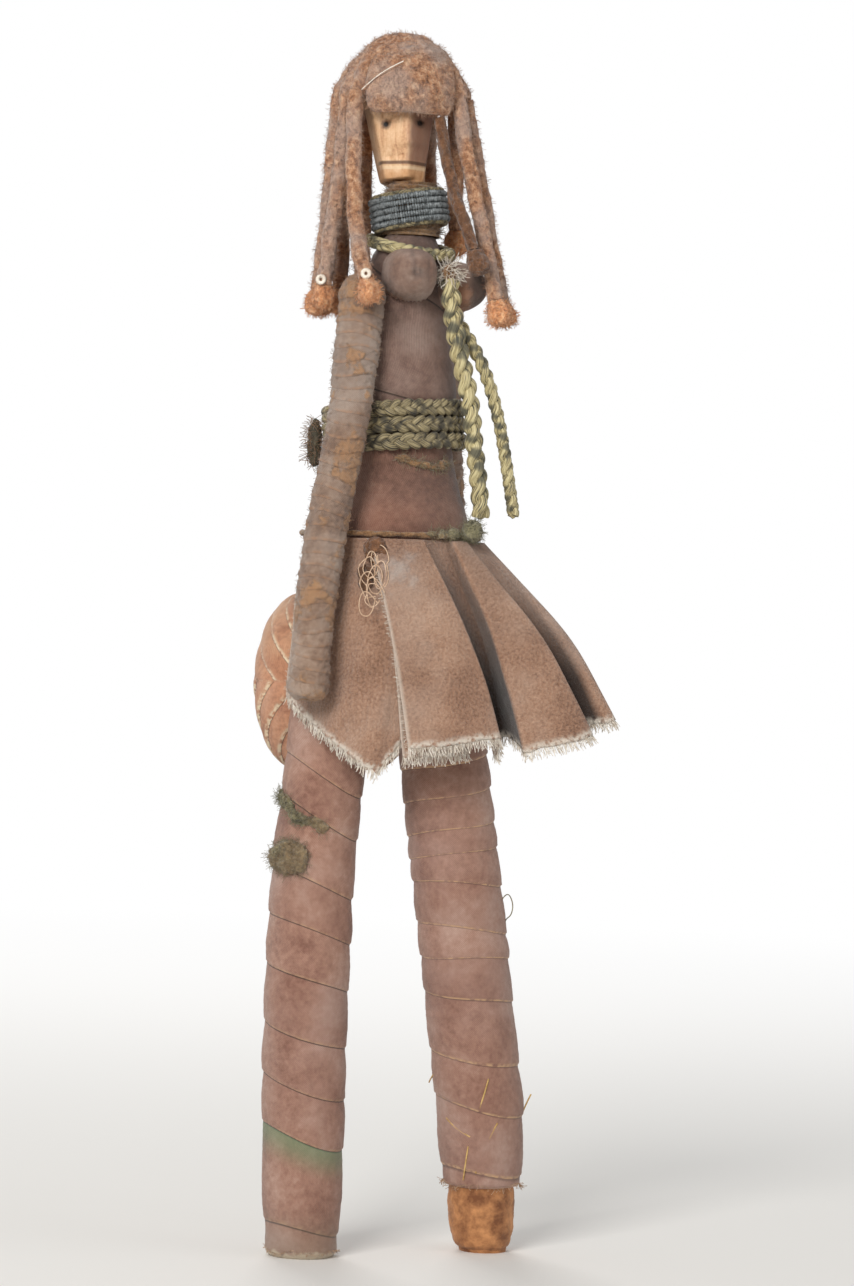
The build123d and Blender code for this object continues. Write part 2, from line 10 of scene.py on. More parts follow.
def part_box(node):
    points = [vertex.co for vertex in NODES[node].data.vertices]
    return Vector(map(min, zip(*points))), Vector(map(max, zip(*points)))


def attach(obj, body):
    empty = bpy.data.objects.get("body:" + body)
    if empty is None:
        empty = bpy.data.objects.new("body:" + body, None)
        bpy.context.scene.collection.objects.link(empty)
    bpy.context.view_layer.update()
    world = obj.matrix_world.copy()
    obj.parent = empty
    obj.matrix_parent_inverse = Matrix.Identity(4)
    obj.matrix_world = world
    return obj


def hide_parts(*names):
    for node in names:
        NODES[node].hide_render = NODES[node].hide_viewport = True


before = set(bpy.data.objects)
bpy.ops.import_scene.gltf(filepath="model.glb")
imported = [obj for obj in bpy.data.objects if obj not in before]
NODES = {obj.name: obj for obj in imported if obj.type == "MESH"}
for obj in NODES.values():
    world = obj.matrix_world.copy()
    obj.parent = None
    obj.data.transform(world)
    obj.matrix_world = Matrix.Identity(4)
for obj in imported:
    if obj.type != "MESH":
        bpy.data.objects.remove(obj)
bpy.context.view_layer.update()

MM = 0.001
LOW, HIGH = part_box("skirt_cord")
AXIS = (LOW + HIGH) / 2            # the waist cord goes round the trunk's upright axis
VIEW_RIGHT = 48                    # the turn from straight ahead that lies on the viewer's right
VIEW_SIDE = (0.743, -0.669, 0)     # the same as a direction
SEAM_TURN = 138                    # where closed cloths begin, out of the viewer's sight
EYE_HIGH, EYE_ASIDE, EYE_AWAY, EYE_LEAN = 0.1505, 0.010, 1.030, 2.1     # the camera: metres and degrees
LIP, SLIT = 0.2662, 0.2674         # metres up
EYES = ((-0.0046, 0.2766), (0.0036, 0.2772))    # metres to the viewer's right, and up

# Sizes in millimetres from the trunk's axis, as in the part's source.
RIGHT_LEG = [  # height, x, y, radius
    (0, -15.7, 5.3, 8.2), (12, -16.2, 5.2, 9.2), (30, -16.6, 5.2, 9.6), (62, -17.2, 5.2, 9.9),
    (97, -16, 5.4, 9.8), (119, -13.6, 5.6, 9.5), (158.7, -12.6, 4.6, 8.9),
]
LEFT_LEG = [
    (16.5, 29.6, -9.8, 9.4), (30, 28.6, -9.7, 10.3), (62, 23.4, -9.4, 10.6), (97, 17.2, -9, 10.7),
    (119, 13.4, -8.4, 10.6), (158.7, 10.4, -6, 9.3),
]
RIGHT_ARM = [
    (136, -31.2, -7.6, 5), (150, -30.4, -7.6, 4.5), (170, -28.2, -7.6, 4.9), (186, -25.6, -8, 4.8),
    (204, -22.4, -8.6, 4.8), (219, -19, -6.6, 5.2), (234, -16.2, -4.9, 5.4), (239.3, -16.2, -4.9, 5.4),
]
LEFT_ARM = [
    (137, 32.2, 8.2, 5), (150, 31.4, 8.8, 4.5), (170, 28.6, 9.4, 4.9), (186, 25.6, 9, 4.9),
    (204, 22.4, 7.6, 4.8), (219, 18.9, 5.4, 5.2), (234, 16.4, 2.8, 5.4), (239.3, 16.4, 2.8, 5.4),
]
CHEST = [
    (199, 0, 0, 14.3), (204, 0, 0, 14.5), (210, 0, 0, 14.6), (218, 0, 0, 13.9), (226, 0, -0.1, 12.6),
    (236, 0, -0.8, 10.9), (243, 0, -2.2, 9.1), (247, 0, -3.1, 7.2), (249.5, 0, -3.5, 5.9),
]
HIP = [  # height, half width, half depth
    (159, 20.4, 16.6), (164, 20.8, 17.8), (170, 20.7, 18.8), (177, 19.8, 19.4), (182, 18.5, 18.5),
    (188, 16.6, 16.6), (194, 15, 15), (198.7, 14.2, 14.2),
]
HAIR = (-0.2, 1.4)
NECK = (0, -3.6)
LOCKS = [  # turn from straight ahead, reach from the middle of the hair, height
    [(-120, 15.4, 284.2), (-121, 16.3, 275), (-121, 16.9, 262), (-125, 17.6, 249.5), (-128, 18.7, 236.2)],
    [(-88, 15.4, 284.2), (-86, 16.4, 274.5), (-82, 16.9, 263), (-75, 18.3, 252), (-65, 21.4, 243.2),
     (-58, 24.4, 237.2)],
    [(-104, 15, 284.2), (-103, 15.9, 274), (-105, 16.4, 262), (-110, 17.4, 250), (-113, 18.2, 237.2)],
    [(4, 13, 278.8), (8, 14.6, 270), (11, 17.2, 260), (14, 20.6, 251.5), (14.5, 22.6, 246.2)],
    [(28, 14.8, 284.2), (28, 16.6, 274), (31, 19.5, 261), (34, 22.8, 247.5), (29, 26.3, 234.4)],
    [(49, 15.6, 284), (50, 17.6, 274.5), (47, 20.5, 262), (49, 23.2, 248.5), (49, 26.5, 235.2)],
    [(80, 15.2, 284.2), (78, 16.2, 274.5), (81, 16.6, 263.5), (79, 17, 253)],
    [(111, 15.2, 284.2), (113, 16.2, 273), (110, 16.6, 260), (112, 17.2, 247.5)],
    [(141, 15.2, 284.2), (139, 16, 273.5), (142, 16.2, 260.5), (140, 15.8, 248), (142, 15.4, 238)],
    [(171, 15.2, 284.2), (173, 15.8, 272.5), (170, 16, 259.5), (172, 15.6, 246.5), (170, 15.4, 236.5)],
    [(-165, 15.2, 284.2), (-167, 16, 273.5), (-163, 16.4, 260.5), (-166, 16.4, 247.5), (-164, 16, 237.5)],
    [(-142, 15.2, 284.2), (-144, 16.2, 272.5), (-141, 16.8, 259.5), (-143, 17.4, 246.5), (-141, 18, 236.5)],
]
LOCK_WIDE, TUFT_LONG = 4.0, 6.2
BELT_REACH, BELT_HIGH, SEAT_HIGH = 16.2, 203, 140
SHADED_LOCK = 4                      # the lock behind the cheek is thinner, and its wool is darkened as painted shade, as it lies in shadow
BRAID_NEAR = [
    (6, 16.6, 238.6), (8, 17.4, 230), (14, 18.6, 220.6), (23, 20.4, 209.5), (28, 21, 199), (32, 22.2, 189.5),
    (32, 22.9, 182),
]
BRAID_FAR = [
    (24, 15.4, 230), (29, 19.6, 223.6), (34, 22.9, 216.5), (38, 25.7, 207), (40, 27.5, 198), (42, 29, 189.6),
    (43, 30.2, 182.4),
]
CROWN = [  # reach, height
    (0.3, 299.5), (3, 299.4), (6.2, 298.9), (8.8, 297), (12.2, 293.2), (15.2, 289), (17, 285.6),
    (16.9, 283.4), (15, 282.6), (12.6, 283.6), (8, 284.6), (0.3, 284.6),
]
SIDE_PANEL = [  # turn and reach of the cloth at the waist, and at the hem
    (-112, 21.9, -109, 26.4), (-96, 21.5, -95, 25.2), (-80, 21.4, -82, 25), (-64, 21.4, -68, 25.6),
    (-46, 21.4, -55, 26.8), (-32, 21.4, -43, 27.7), (-26, 21.4, -33, 28.3),
]
FRONT_PANEL = [
    (-53, 23, -26.8, 31.1), (-46, 23, -18.3, 32.4), (-38, 23.1, -9, 33.8), (-30, 23.4, 0.8, 36),
    (-24, 23.6, 10, 38.3), (-21.8, 23.7, 14.2, 38.7), (-20.5, 22.9, 16.8, 34.4), (-14, 22, 28, 31.4),
    (-6, 22, 32.6, 33.9), (-2.5, 22.8, 22, 40.6), (-1.6, 24, 18.1, 42.7), (0.5, 24.1, 18.6, 45.3),
    (3, 24.1, 21.4, 50.9), (5, 24.1, 24.8, 56.5), (7, 24.1, 28, 60.3), (8, 23.8, 30.2, 60), (10, 22.8, 35.4, 55),
    (14, 22.6, 38.5, 55.2), (20, 23.3, 37.5, 60.4), (26, 23.5, 36.9, 64.2), (31, 23.5, 37.3, 66),
    (35, 23.3, 38.2, 64.8), (41, 23, 41.5, 56), (48, 22.8, 45, 43), (58, 22.8, 55, 34.6), (70, 22.8, 68, 30),
    (84, 22.8, 83, 28), (97, 22.8, 97, 26.8),
]
FRONT_DROP = [(9, 0), (12, 5), (16, 4.2), (22, 2.4), (34, 0)]   # how much lower the hem hangs, by its turn
SKIRT_TOP, SKIRT_MIDDLE, SKIRT_FOOT, SKIRT_BELLY = 175.2, 157.0, 117.0, 0.43
RIGHT_BREAST, LEFT_BREAST = -30, 42     # their turns
UNDER_PANEL = [(-48, 21.4, -30, 29.4), (-43, 21.4, -18, 30), (-37, 21.4, -6, 31), (-30, 21.4, 6, 31.4)]
RIGHT_SEAMS = [-10, 7.1, 29.1, 41.1, 53.8, 68.2, 80.2, 91.5, 106.9, 117.3, 130, 145, 162]
RIGHT_LEAN = [(0, 0.15), (7, 0.18), (29, 0.33), (54, 0.33), (90, 0.4), (107, 0.55), (160, 0.5)]
LEFT_SEAMS = [-10, 20, 36, 47.9, 63.5, 73.4, 80.7, 91.9, 99, 105, 113, 120.8, 133, 148, 170]
LEFT_LEAN = [(0, 0.1), (20, 0.1), (36, 0.24), (48, 0.16), (63.5, 0.12), (73.4, 0.0), (80.7, 0.14), (91.9, 0.02),
             (99, -0.2), (113, -0.23), (160, -0.2)]
STUMP = [
    (0.1, 30.2, -9.8, 4.6), (1.2, 30.1, -9.8, 6.2), (4, 30, -9.8, 7.3), (9, 29.8, -9.8, 8.0), (14, 29.6, -9.8, 8.3),
    (19, 29.4, -9.8, 7.6),
]
BREAST = [(6, 6.2), (8.5, 6.55), (11.5, 6.7), (14.5, 6.45), (17.5, 5.6), (19.8, 4.1), (21.2, 2.3), (21.8, 0.3)]
TUFT = [(0, 1.9), (0.12, 2.2), (0.3, 2.7), (0.5, 3.0), (0.7, 3.05), (0.86, 2.7), (0.96, 1.9), (1, 0.9)]
STRAW_BITS = [  # turn, height and lift off the left leg
    [(-42, 36.6, 0.2), (-34, 40.5, 0.9), (-27, 44, 0.4)], [(-51, 20.4, 0.3), (-42, 26, 0.6), (-19, 33, 0.3)],
    [(-93, 33.5, 0.3), (-76, 31, 0.8), (-57, 29.4, 0.3)], [(-132, 41.5, 1.4), (-125, 43, 0.8), (-112, 44.5, 0.2)],
    [(46, 34.8, 0.2), (48, 37, 1.2), (50, 39.4, 2.6)], [(-70, 18.5, 0.4), (-63, 24, 0.8), (-60, 27, 0.5)],
]
GREEN_LOOP = [(40, 88, 0.2), (47, 90, 1.6), (50, 87, 2.8), (48, 84, 2.0), (42, 83, 0.4), (36, 82, 0.3)]
HAIR_THREAD = [(-79, 16.1, 284.3), (-66, 16.4, 287), (-52, 16.2, 289.6), (-41, 15.6, 291.2)]


def place(x, y, z):
    """A point in the model's frame from millimetres off the trunk's axis."""
    return Vector((AXIS.x + x * MM, AXIS.y + y * MM, z * MM))


def polar(turn, reach, z, middle=(0, 0)):
    """A point by its turn from straight ahead, towards the doll's left, and its reach."""
    a = radians(turn)
    return place(middle[0] + reach * sin(a), middle[1] - reach * cos(a), z)


def colour(red, green, blue):
    """A colour written in display values as the linear one that the shaders take."""
    return tuple((c / 255 / 12.92) if c < 11 else ((c / 255 + 0.055) / 1.055) ** 2.4 for c in (red, green, blue))


def facing(turn):
    return Vector((sin(radians(turn)), -cos(radians(turn)), 0))


def linked(name, data):
    piece = bpy.data.objects.new(name, data)
    bpy.context.collection.objects.link(piece)
    return piece


def plain_mesh(source):
    """The mesh that an object's modifiers leave, or that a curve makes."""
    graph = bpy.context.evaluated_depsgraph_get()
    return bpy.data.meshes.new_from_object(source.evaluated_get(graph), preserve_all_data_layers=True, depsgraph=graph)


def smooth(piece):
    for face in piece.data.polygons:
        face.use_smooth = True
    return piece


def grounded(piece):
    """Keeps a piece's points out of the floor."""
    for vertex in piece.data.vertices:
        vertex.co.z = max(vertex.co.z, 0)
    return piece


def store(mesh, name, values, kind="FLOAT", domain="POINT"):
    """Keeps numbers or vectors on a mesh under a name that the node trees read."""
    values = np.array(values, np.float32).ravel()
    mesh.attributes.new(name, kind, domain).data.foreach_set("value" if kind == "FLOAT" else "vector", values)


def told(piece, slot, *nodes, body="doll"):
    """Says which body a piece rides on and which nodes it replaces; the slot is not used."""
    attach(piece, body)
    if nodes:
        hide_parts(*nodes)
    return piece


# ---- camera and light ---------------------------------------------------------------------------
def set_camera():
    data = bpy.data.cameras.new("camera")
    data.sensor_width, data.lens = 36, 117.3
    data.clip_start, data.clip_end = 0.05, 60
    camera = linked("camera", data)
    way, side, up = Vector((0.669, 0.743, 0)), Vector(VIEW_SIDE), Vector((0, 0, 1))
    lean = radians(EYE_LEAN)
    right = side * cos(lean) + up * sin(lean)
    top = up * cos(lean) - side * sin(lean)
    turn = Matrix((right, top, -way)).transposed().to_4x4()
    spot = Vector((AXIS.x, AXIS.y, EYE_HIGH)) + side * EYE_ASIDE - way * EYE_AWAY
    camera.matrix_world = Matrix.Translation(spot) @ turn
    bpy.context.scene.camera = camera


def lamp(name, spot, size, power, tint=(1, 1, 1)):
    data = bpy.data.lights.new(name, "AREA")
    data.size, data.energy, data.color = size, power, tint
    piece = linked(name, data)
    piece.location = spot
    piece.rotation_euler = (Vector((0, 0, 0.16)) - Vector(spot)).to_track_quat("-Z", "Y").to_euler()


def set_light():
    bpy.context.scene.view_settings.view_transform = "Standard"
    lamp("key", (-1.25, -0.65, 0.8), 0.6, 19.0, (1, 0.985, 0.96))
    lamp("fill", (0.75, -1.3, 0.45), 1.2, 3.6, (0.97, 0.985, 1))
    lamp("rim", (0.55, 0.95, 0.8), 0.6, 6.5)
    world = bpy.data.worlds.new("room")
    bpy.context.scene.world = world
    world.use_nodes = True
    room = Graph(world.node_tree)
    rays = ("Camera", "Glossy", "Transmission")
    seen, glossy, through = (room.node("LightPath", out=f"Is {ray} Ray") for ray in rays)
    white = (seen + glossy * 0.5 + through).math("MINIMUM", 1)
    background = world.node_tree.nodes["Background"]
    background.inputs["Color"].default_value = (1, 1, 1, 1)
    room.tree.links.new((0.36 + white * 0.64).socket, background.inputs["Strength"])

    mesh = bpy.data.meshes.new("floor")
    mesh.from_pydata([(-9, -9, 0), (9, -9, 0), (9, 9, 0), (-9, 9, 0)], [], [(0, 1, 2, 3)])
    floor = linked("floor", mesh)
    ground = Finish("pale_floor", 0.9)
    far = ground.vector("LENGTH", ground.body(), out="Value").between(0.0, 1.3)
    lit = ground.node("Emission", Color=(1, 1, 1), Strength=1)
    seen = ground.node("LightPath", out="Is Camera Ray")
    both = ground.node("MixShader", far * seen, Value(ground, ground.shader.outputs[0]), lit)
    ground.tree.links.new(both.socket, ground.tree.nodes["Material Output"].inputs[0])
    ground.shader.inputs["Base Color"].default_value = (*colour(232, 230, 226), 1)
    ground.put_on(floor)


# ---- node trees -----------------------------------------------------------------------------------
class Value:
    """One output of a node. Python's operators on it add Math nodes to its tree."""

    def __init__(self, graph, socket):
        self.graph, self.socket = graph, socket

    def math(self, operation, *others):
        return self.graph.node("Math", self, *others, operation=operation)

    def __add__(self, other):
        return self.math("ADD", other)

    def __sub__(self, other):
        return self.math("SUBTRACT", other)

    def __rsub__(self, other):
        return self.graph.node("Math", other, self, operation="SUBTRACT")

    def __mul__(self, other):
        return self.math("MULTIPLY", other)

    def __truediv__(self, other):
        return self.math("DIVIDE", other)

    __radd__, __rmul__ = __add__, __mul__

    def between(self, low, high):
        """0 up to low, 1 from high, smooth between; the other way round where low is the larger."""
        return self.graph.node("MapRange", interpolation_type="SMOOTHSTEP", Value=self, From_Min=low, From_Max=high)


class Graph:
    """A node tree that is being built."""

    def __init__(self, tree):
        self.tree = tree

    def node(self, kind, *values, out=0, **named):
        """Adds a node. Names in small letters are its settings; the values, and the other names, its sockets."""
        shading = self.tree.bl_idname == "ShaderNodeTree"
        families = ["ShaderNode"] if shading else ["GeometryNode", "FunctionNode", "ShaderNode"]
        made = self.tree.nodes.new(next(family + kind for family in families if hasattr(bpy.types, family + kind)))
        for key in filter(str.islower, named):
            setattr(made, key, named[key])
        pairs = [(socket, value) for socket, value in zip(made.inputs, values) if value is not None]
        pairs += [(next(s for s in made.inputs if s.name == key.replace("_", " ") and s.enabled), value)
                  for key, value in named.items() if not key.islower() and value is not None]
        for socket, value in pairs:
            if isinstance(value, Value):
                self.tree.links.new(value.socket, socket)
            else:
                socket.default_value = (*value, 1) if socket.type == "RGBA" else value
        return Value(self, made.outputs[out] if isinstance(out, int) else next(
            s for s in made.outputs if s.name == out and s.enabled))

    def vector(self, operation, *values, out=0):
        return self.node("VectorMath", *values, out=out, operation=operation)

    def scaled(self, vector, factor):
        return self.node("VectorMath", vector, operation="SCALE", Scale=factor)

    def split(self, vector):
        return [Value(self, socket) for socket in self.node("SeparateXYZ", vector).socket.node.outputs]

    def joined(self, *numbers):
        return self.node("CombineXYZ", *numbers)

    def noise(self, vector, scale, detail=2, rough=0.5, warp=0.0):
        return self.node("TexNoise", noise_dimensions="3D", Vector=vector, Scale=scale, Detail=detail,
                         Roughness=rough, Distortion=warp)

    def random(self, kind, low, high, seed):
        return self.node("RandomValue", out="Value", data_type=kind, Min=low, Max=high, Seed=seed)

    def read(self, name, kind="FLOAT"):
        return self.node("InputNamedAttribute", out="Attribute", data_type=kind, Name=name)

    def marked(self, geometry, name, value, kind="FLOAT", domain="POINT"):
        return self.node("StoreNamedAttribute", data_type=kind, domain=domain, Geometry=geometry, Name=name,
                         Value=value)

    def run(self, geometry, step):
        """A curve cut into even steps."""
        return self.node("ResampleCurve", mode="LENGTH", Curve=geometry, Length=step)

    def raised(self, geometry, rise):
        """A surface moved out along its normals."""
        return self.node("SetPosition", Geometry=geometry, Offset=self.scaled(self.node("InputNormal"), rise))

    def mix(self, share, one, other):
        """Colours given as numbers are display values."""
        one, other = (shade if isinstance(shade, Value) else colour(*shade) for shade in (one, other))
        return self.node("Mix", share, *[None] * 5, one, other, out=2, data_type="RGBA", blend_type="MIX")

    def ramp(self, share, *stops):
        made = self.node("ValToRGB", share)
        row = made.socket.node.color_ramp.elements
        for spot, _ in stops[1:-1]:
            row.new(spot)
        row[0].position, row[-1].position = stops[0][0], stops[-1][0]
        for stop, (_, shade) in zip(row, stops):
            stop.color = (*colour(*shade), 1)
        return made


class Finish(Graph):
    """A material: what varies over the surface is fed to its one shader."""

    def __init__(self, name, roughness=0.85, sheen=0.0, specular=0.3):
        self.material = bpy.data.materials.new(name)
        self.material.use_nodes = True
        super().__init__(self.material.node_tree)
        self.shader = self.tree.nodes["Principled BSDF"]
        for key, value in (("Roughness", roughness), ("Sheen Weight", sheen), ("Specular IOR Level", specular)):
            self.shader.inputs[key].default_value = value

    def body(self):
        return self.node("TexCoord", out="Object")

    def lay(self):
        """Metres along and across the cloth."""
        return self.node("UVMap", uv_map="lay")

    def mark(self, name, out="Fac"):
        return self.node("Attribute", out=out, attribute_name=name)

    def feed(self, shade, *bumps, roughness=None):
        """Bumps are (height from 0 to 1, depth in metres)."""
        normal = None
        for height, depth in bumps:
            normal = self.node("Bump", Height=height, Distance=depth, Normal=normal)
        for key, value in (("Base Color", shade), ("Normal", normal), ("Roughness", roughness)):
            if value:
                self.tree.links.new(value.socket, self.shader.inputs[key])
        return self

    def put_on(self, *pieces):
        for piece in pieces:
            if piece.material_slots:
                for slot in piece.material_slots:
                    slot.material = self.material
            else:
                piece.data.materials.append(self.material)


KINDS = {float: "NodeSocketFloat", int: "NodeSocketInt", tuple: "NodeSocketVector", type(None): "NodeSocketMaterial"}


def new_tree(name, **inputs):
    """A Geometry Nodes tree with those named inputs; returns it with its inputs as values."""
    tree = bpy.data.node_groups.new(name, "GeometryNodeTree")
    tree.interface.new_socket("Source", in_out="INPUT", socket_type="NodeSocketGeometry")
    for key, value in {**inputs, "Finish": None}.items():
        socket = tree.interface.new_socket(key, in_out="INPUT", socket_type=KINDS[type(value)])
        if value is not None:
            socket.default_value = value
    tree.interface.new_socket("Made", in_out="OUTPUT", socket_type="NodeSocketGeometry")
    graph = Graph(tree)
    given = tree.nodes.new("NodeGroupInput")
    return graph, {socket.name: Value(graph, socket) for socket in given.outputs if socket.name}


def end_tree(graph, geometry, finish):
    done = graph.node("SetMaterial", Geometry=graph.node("RealizeInstances", geometry), Material=finish)
    graph.tree.links.new(done.socket, graph.tree.nodes.new("NodeGroupOutput").inputs[0])
    return graph.tree


def fibre(graph, length, thick, bend):
    """One tapering fibre that stands on the origin."""
    middle, end = graph.joined(0, 0, length * 0.5), graph.joined(bend * length, 0, length * 0.95)
    line = graph.node("CurveQuadraticBezier", Resolution=3, Start=(0, 0, 0), Middle=middle, End=end)
    thin = 1 - graph.node("SplineParameter", out="Factor") * 0.75
    line = graph.node("SetCurveRadius", Curve=line, Radius=thin)
    section = graph.node("CurvePrimitiveCircle", Resolution=3, Radius=thick)
    return graph.node("CurveToMesh", Curve=line, Profile_Curve=section)


def planted(graph, points, way, given):
    """Ends a tree in fibres that stand on points, along a way with a random part."""
    seed = given["Seed"]
    spread = graph.random("FLOAT_VECTOR", (-1, -1, -1), (1, 1, 1), seed)
    way = graph.vector("ADD", way, graph.scaled(spread, given["Wild"]))
    roll = graph.node("EulerToRotation", graph.random("FLOAT_VECTOR", (0, 0, -pi), (0, 0, pi), seed + 1))
    turn = graph.node("AlignRotationToVector", axis="Z", Rotation=roll, Vector=way)
    size = graph.random("FLOAT", 0.35, 1.15, seed + 2)
    one = fibre(graph, given["Length"], given["Thick"], given["Bend"])
    size = graph.joined(size, size, size)
    made = graph.node("InstanceOnPoints", Points=points, Instance=one, Rotation=turn, Scale=size)
    return end_tree(graph, made, given["Finish"])


def napping():
    """Loose fibres that stand out of a felted or woven surface."""
    graph, given = new_tree("nap", Density=1e6, Length=0.001, Thick=0.00005, Bend=0.3, Wild=0.6, Droop=0.0, Seed=1)
    spread = graph.node("DistributePointsOnFaces", Mesh=given["Source"], Density=given["Density"], Seed=given["Seed"])
    normal = Value(graph, spread.socket.node.outputs["Normal"])
    return planted(graph, spread, graph.vector("ADD", normal, graph.joined(0, 0, 0 - given["Droop"])), given)


def fraying():
    """Threads that stand out of a cut edge, each along the edge's own way out."""
    graph, given = new_tree("fray", Spacing=0.0004, Length=0.002, Thick=0.00008, Bend=0.2, Wild=0.25, Seed=1)
    edge = graph.run(graph.node("MeshToCurve", given["Source"]), given["Spacing"])
    points = graph.node("CurveToPoints", mode="EVALUATED", Curve=edge)
    return planted(graph, points, graph.read("out", "FLOAT_VECTOR"), given)


def girth_ring(graph, radius, sides):
    """A round section that keeps its cosine and sine as the mark girth."""
    ring = graph.node("CurvePrimitiveCircle", Resolution=sides, Radius=radius)
    angle = graph.node("SplineParameter", out="Factor") * (2 * pi)
    return graph.marked(ring, "girth", graph.joined(angle.math("COSINE"), angle.math("SINE"), 0), "FLOAT_VECTOR")


def plaiting():
    """Three strands that cross over each other along a path that goes round or down an upright axis."""
    graph, given = new_tree("plait", Wide=0.001, Deep=0.0006, Strand=0.0008, Pitch=0.008, Step=0.0004,
                            Middle=(0.0, 0.0, 0.0), Uneven=0.0001)
    path = graph.run(given["Source"], given["Step"])
    run = graph.node("SplineParameter", out="Length")
    spot, tangent = graph.node("InputPosition"), graph.node("InputTangent")
    out = graph.vector("MULTIPLY", graph.vector("SUBTRACT", spot, given["Middle"]), (1, 1, 0))
    side = graph.vector("NORMALIZE", graph.vector("CROSS_PRODUCT", tangent, out))
    out = graph.vector("CROSS_PRODUCT", side, tangent)
    strands = []
    for number in range(3):
        phase = (run / given["Pitch"] + number / 3) * (2 * pi)
        uneven = (graph.noise(graph.vector("ADD", spot, (number * 0.37, 0, 0)), 300, 1) - 0.5) * given["Uneven"]
        across = phase.math("SINE") * given["Wide"] + uneven
        above = (phase * 2).math("SINE") * given["Deep"] + uneven
        shift = graph.vector("ADD", graph.scaled(side, across), graph.scaled(out, above))
        line = graph.node("SetPosition", Geometry=path, Offset=shift)
        over = (phase * 2).math("SINE") * 0.5 + 0.5
        for name, value in (("along", run), ("strand", float(number)), ("over", over)):
            line = graph.marked(line, name, value)
        strands.append(graph.node("CurveToMesh", Curve=line, Profile_Curve=girth_ring(graph, given["Strand"], 10),
                                  Fill_Caps=True))
    join = graph.tree.nodes.new("GeometryNodeJoinGeometry")
    for line in strands:
        graph.tree.links.new(line.socket, join.inputs[0])
    return end_tree(graph, Value(graph, join.outputs[0]), given["Finish"])


def cording():
    """A thick cord of twisted plies with a lumpy, felted surface."""
    graph, given = new_tree("cord", Radius=0.002, Plies=3, Twist=0.012, Groove=0.0003, Lump=0.0003, Grain=420.0,
                            Step=0.0004, Shift=0.0)
    path = graph.run(given["Source"], given["Step"])
    path = graph.marked(path, "along", graph.node("SplineParameter", out="Length"))
    ring = graph.marked(girth_ring(graph, given["Radius"], 26), "around", graph.node("SplineParameter", out="Factor"))
    tube = graph.node("CurveToMesh", Curve=path, Profile_Curve=ring, Fill_Caps=True)
    ply = ((graph.read("around") * given["Plies"] + graph.read("along") / given["Twist"]) * pi)
    ply = ply.math("SINE").math("ABSOLUTE")
    spot = graph.vector("ADD", graph.node("InputPosition"), graph.joined(given["Shift"], 0, 0))
    lumps = graph.noise(spot, given["Grain"], 3, 0.6) - 0.5
    swell = graph.noise(spot, given["Grain"] * 0.22, 1) - 0.5
    rise = (ply - 1) * given["Groove"] + lumps * given["Lump"] * 2 + swell * given["Lump"] * 1.6
    return end_tree(graph, graph.marked(graph.raised(tube, rise), "ply", ply), given["Finish"])


def winding():
    """Cloth wound round a form: each turn's lower edge stands out, and the cloth is slightly rippled."""
    graph, given = new_tree("winding", Lift=0.0004, Swell=0.0002, Ripple=0.0003, Crease=0.0001, Grain=90.0)
    part = graph.read("turns").math("FRACT")
    edge = part.between(0.0, 0.05) * (1 - part)
    spot = graph.node("InputPosition")
    ripple = graph.noise(spot, given["Grain"], 2) - 0.5
    tall = graph.vector("MULTIPLY", spot, (1, 1, 2.2))
    crease = (graph.noise(tall, given["Grain"] * 4, 2, 0.6) - 0.5) * given["Crease"] * 2
    rise = edge * given["Lift"] + (part * pi).math("SINE") * given["Swell"] + ripple * given["Ripple"] + crease
    return end_tree(graph, graph.raised(given["Source"], rise), given["Finish"])


def matting():
    """A lumpy, matted surface."""
    graph, given = new_tree("matting", Lump=0.0004, Grain=500.0, Swell=0.0004)
    spot = graph.node("InputPosition")
    rise = (graph.noise(spot, given["Grain"], 4, 0.65) - 0.5) * given["Lump"] * 2
    rise = rise + (graph.noise(spot, given["Grain"] * 0.22, 1) - 0.5) * given["Swell"] * 2
    return end_tree(graph, graph.raised(given["Source"], rise), given["Finish"])


def beading():
    """Rows of small round beads, strung side by side on rings one above the other."""
    graph, given = new_tree("beads", Rows=5, Count=96, Reach=0.0092, Row=0.0015, Bead=0.0007, Seed=3)
    ladder = graph.node("MeshLine", Count=given["Rows"], Offset=graph.joined(0, 0, given["Row"]))
    ring = graph.node("CurvePrimitiveCircle", Resolution=96, Radius=given["Reach"])
    rings = graph.node("RealizeInstances", graph.node("InstanceOnPoints", Points=ladder, Instance=ring))
    points = graph.node("CurveToPoints", mode="COUNT", Curve=rings, Count=given["Count"])
    turn = graph.node("AlignRotationToVector", axis="X", Vector=Value(graph, points.socket.node.outputs["Tangent"]))
    jitter = graph.random("FLOAT", 0.88, 1.1, given["Seed"])
    bead = graph.node("MeshUVSphere", Segments=10, Rings=6, Radius=given["Bead"])
    size = graph.joined(jitter * 0.5, jitter, jitter * 1.02)
    rows = graph.node("InstanceOnPoints", Points=points, Instance=bead, Rotation=turn, Scale=size)
    rows = graph.marked(rows, "tone", graph.random("FLOAT", 0.0, 1.0, 11), domain="INSTANCE")
    return end_tree(graph, rows, given["Finish"])


def made(name, tree, source, slot, node=None, body="doll", **inputs):
    """The plain mesh that a node tree makes from an object, as a piece that rides on a body."""
    modifier = source.modifiers.new("make", "NODES")
    modifier.node_group = tree
    for item in tree.interface.items_tree:
        if item.in_out == "INPUT" and item.name in inputs:
            value = inputs[item.name]
            modifier[item.identifier] = value.material if isinstance(value, Finish) else value
    source.update_tag()
    mesh = plain_mesh(source)
    bpy.data.objects.remove(source)
    mesh.name = name
    return told(smooth(linked(name, mesh)), slot, *[node] if node else [], body=body)


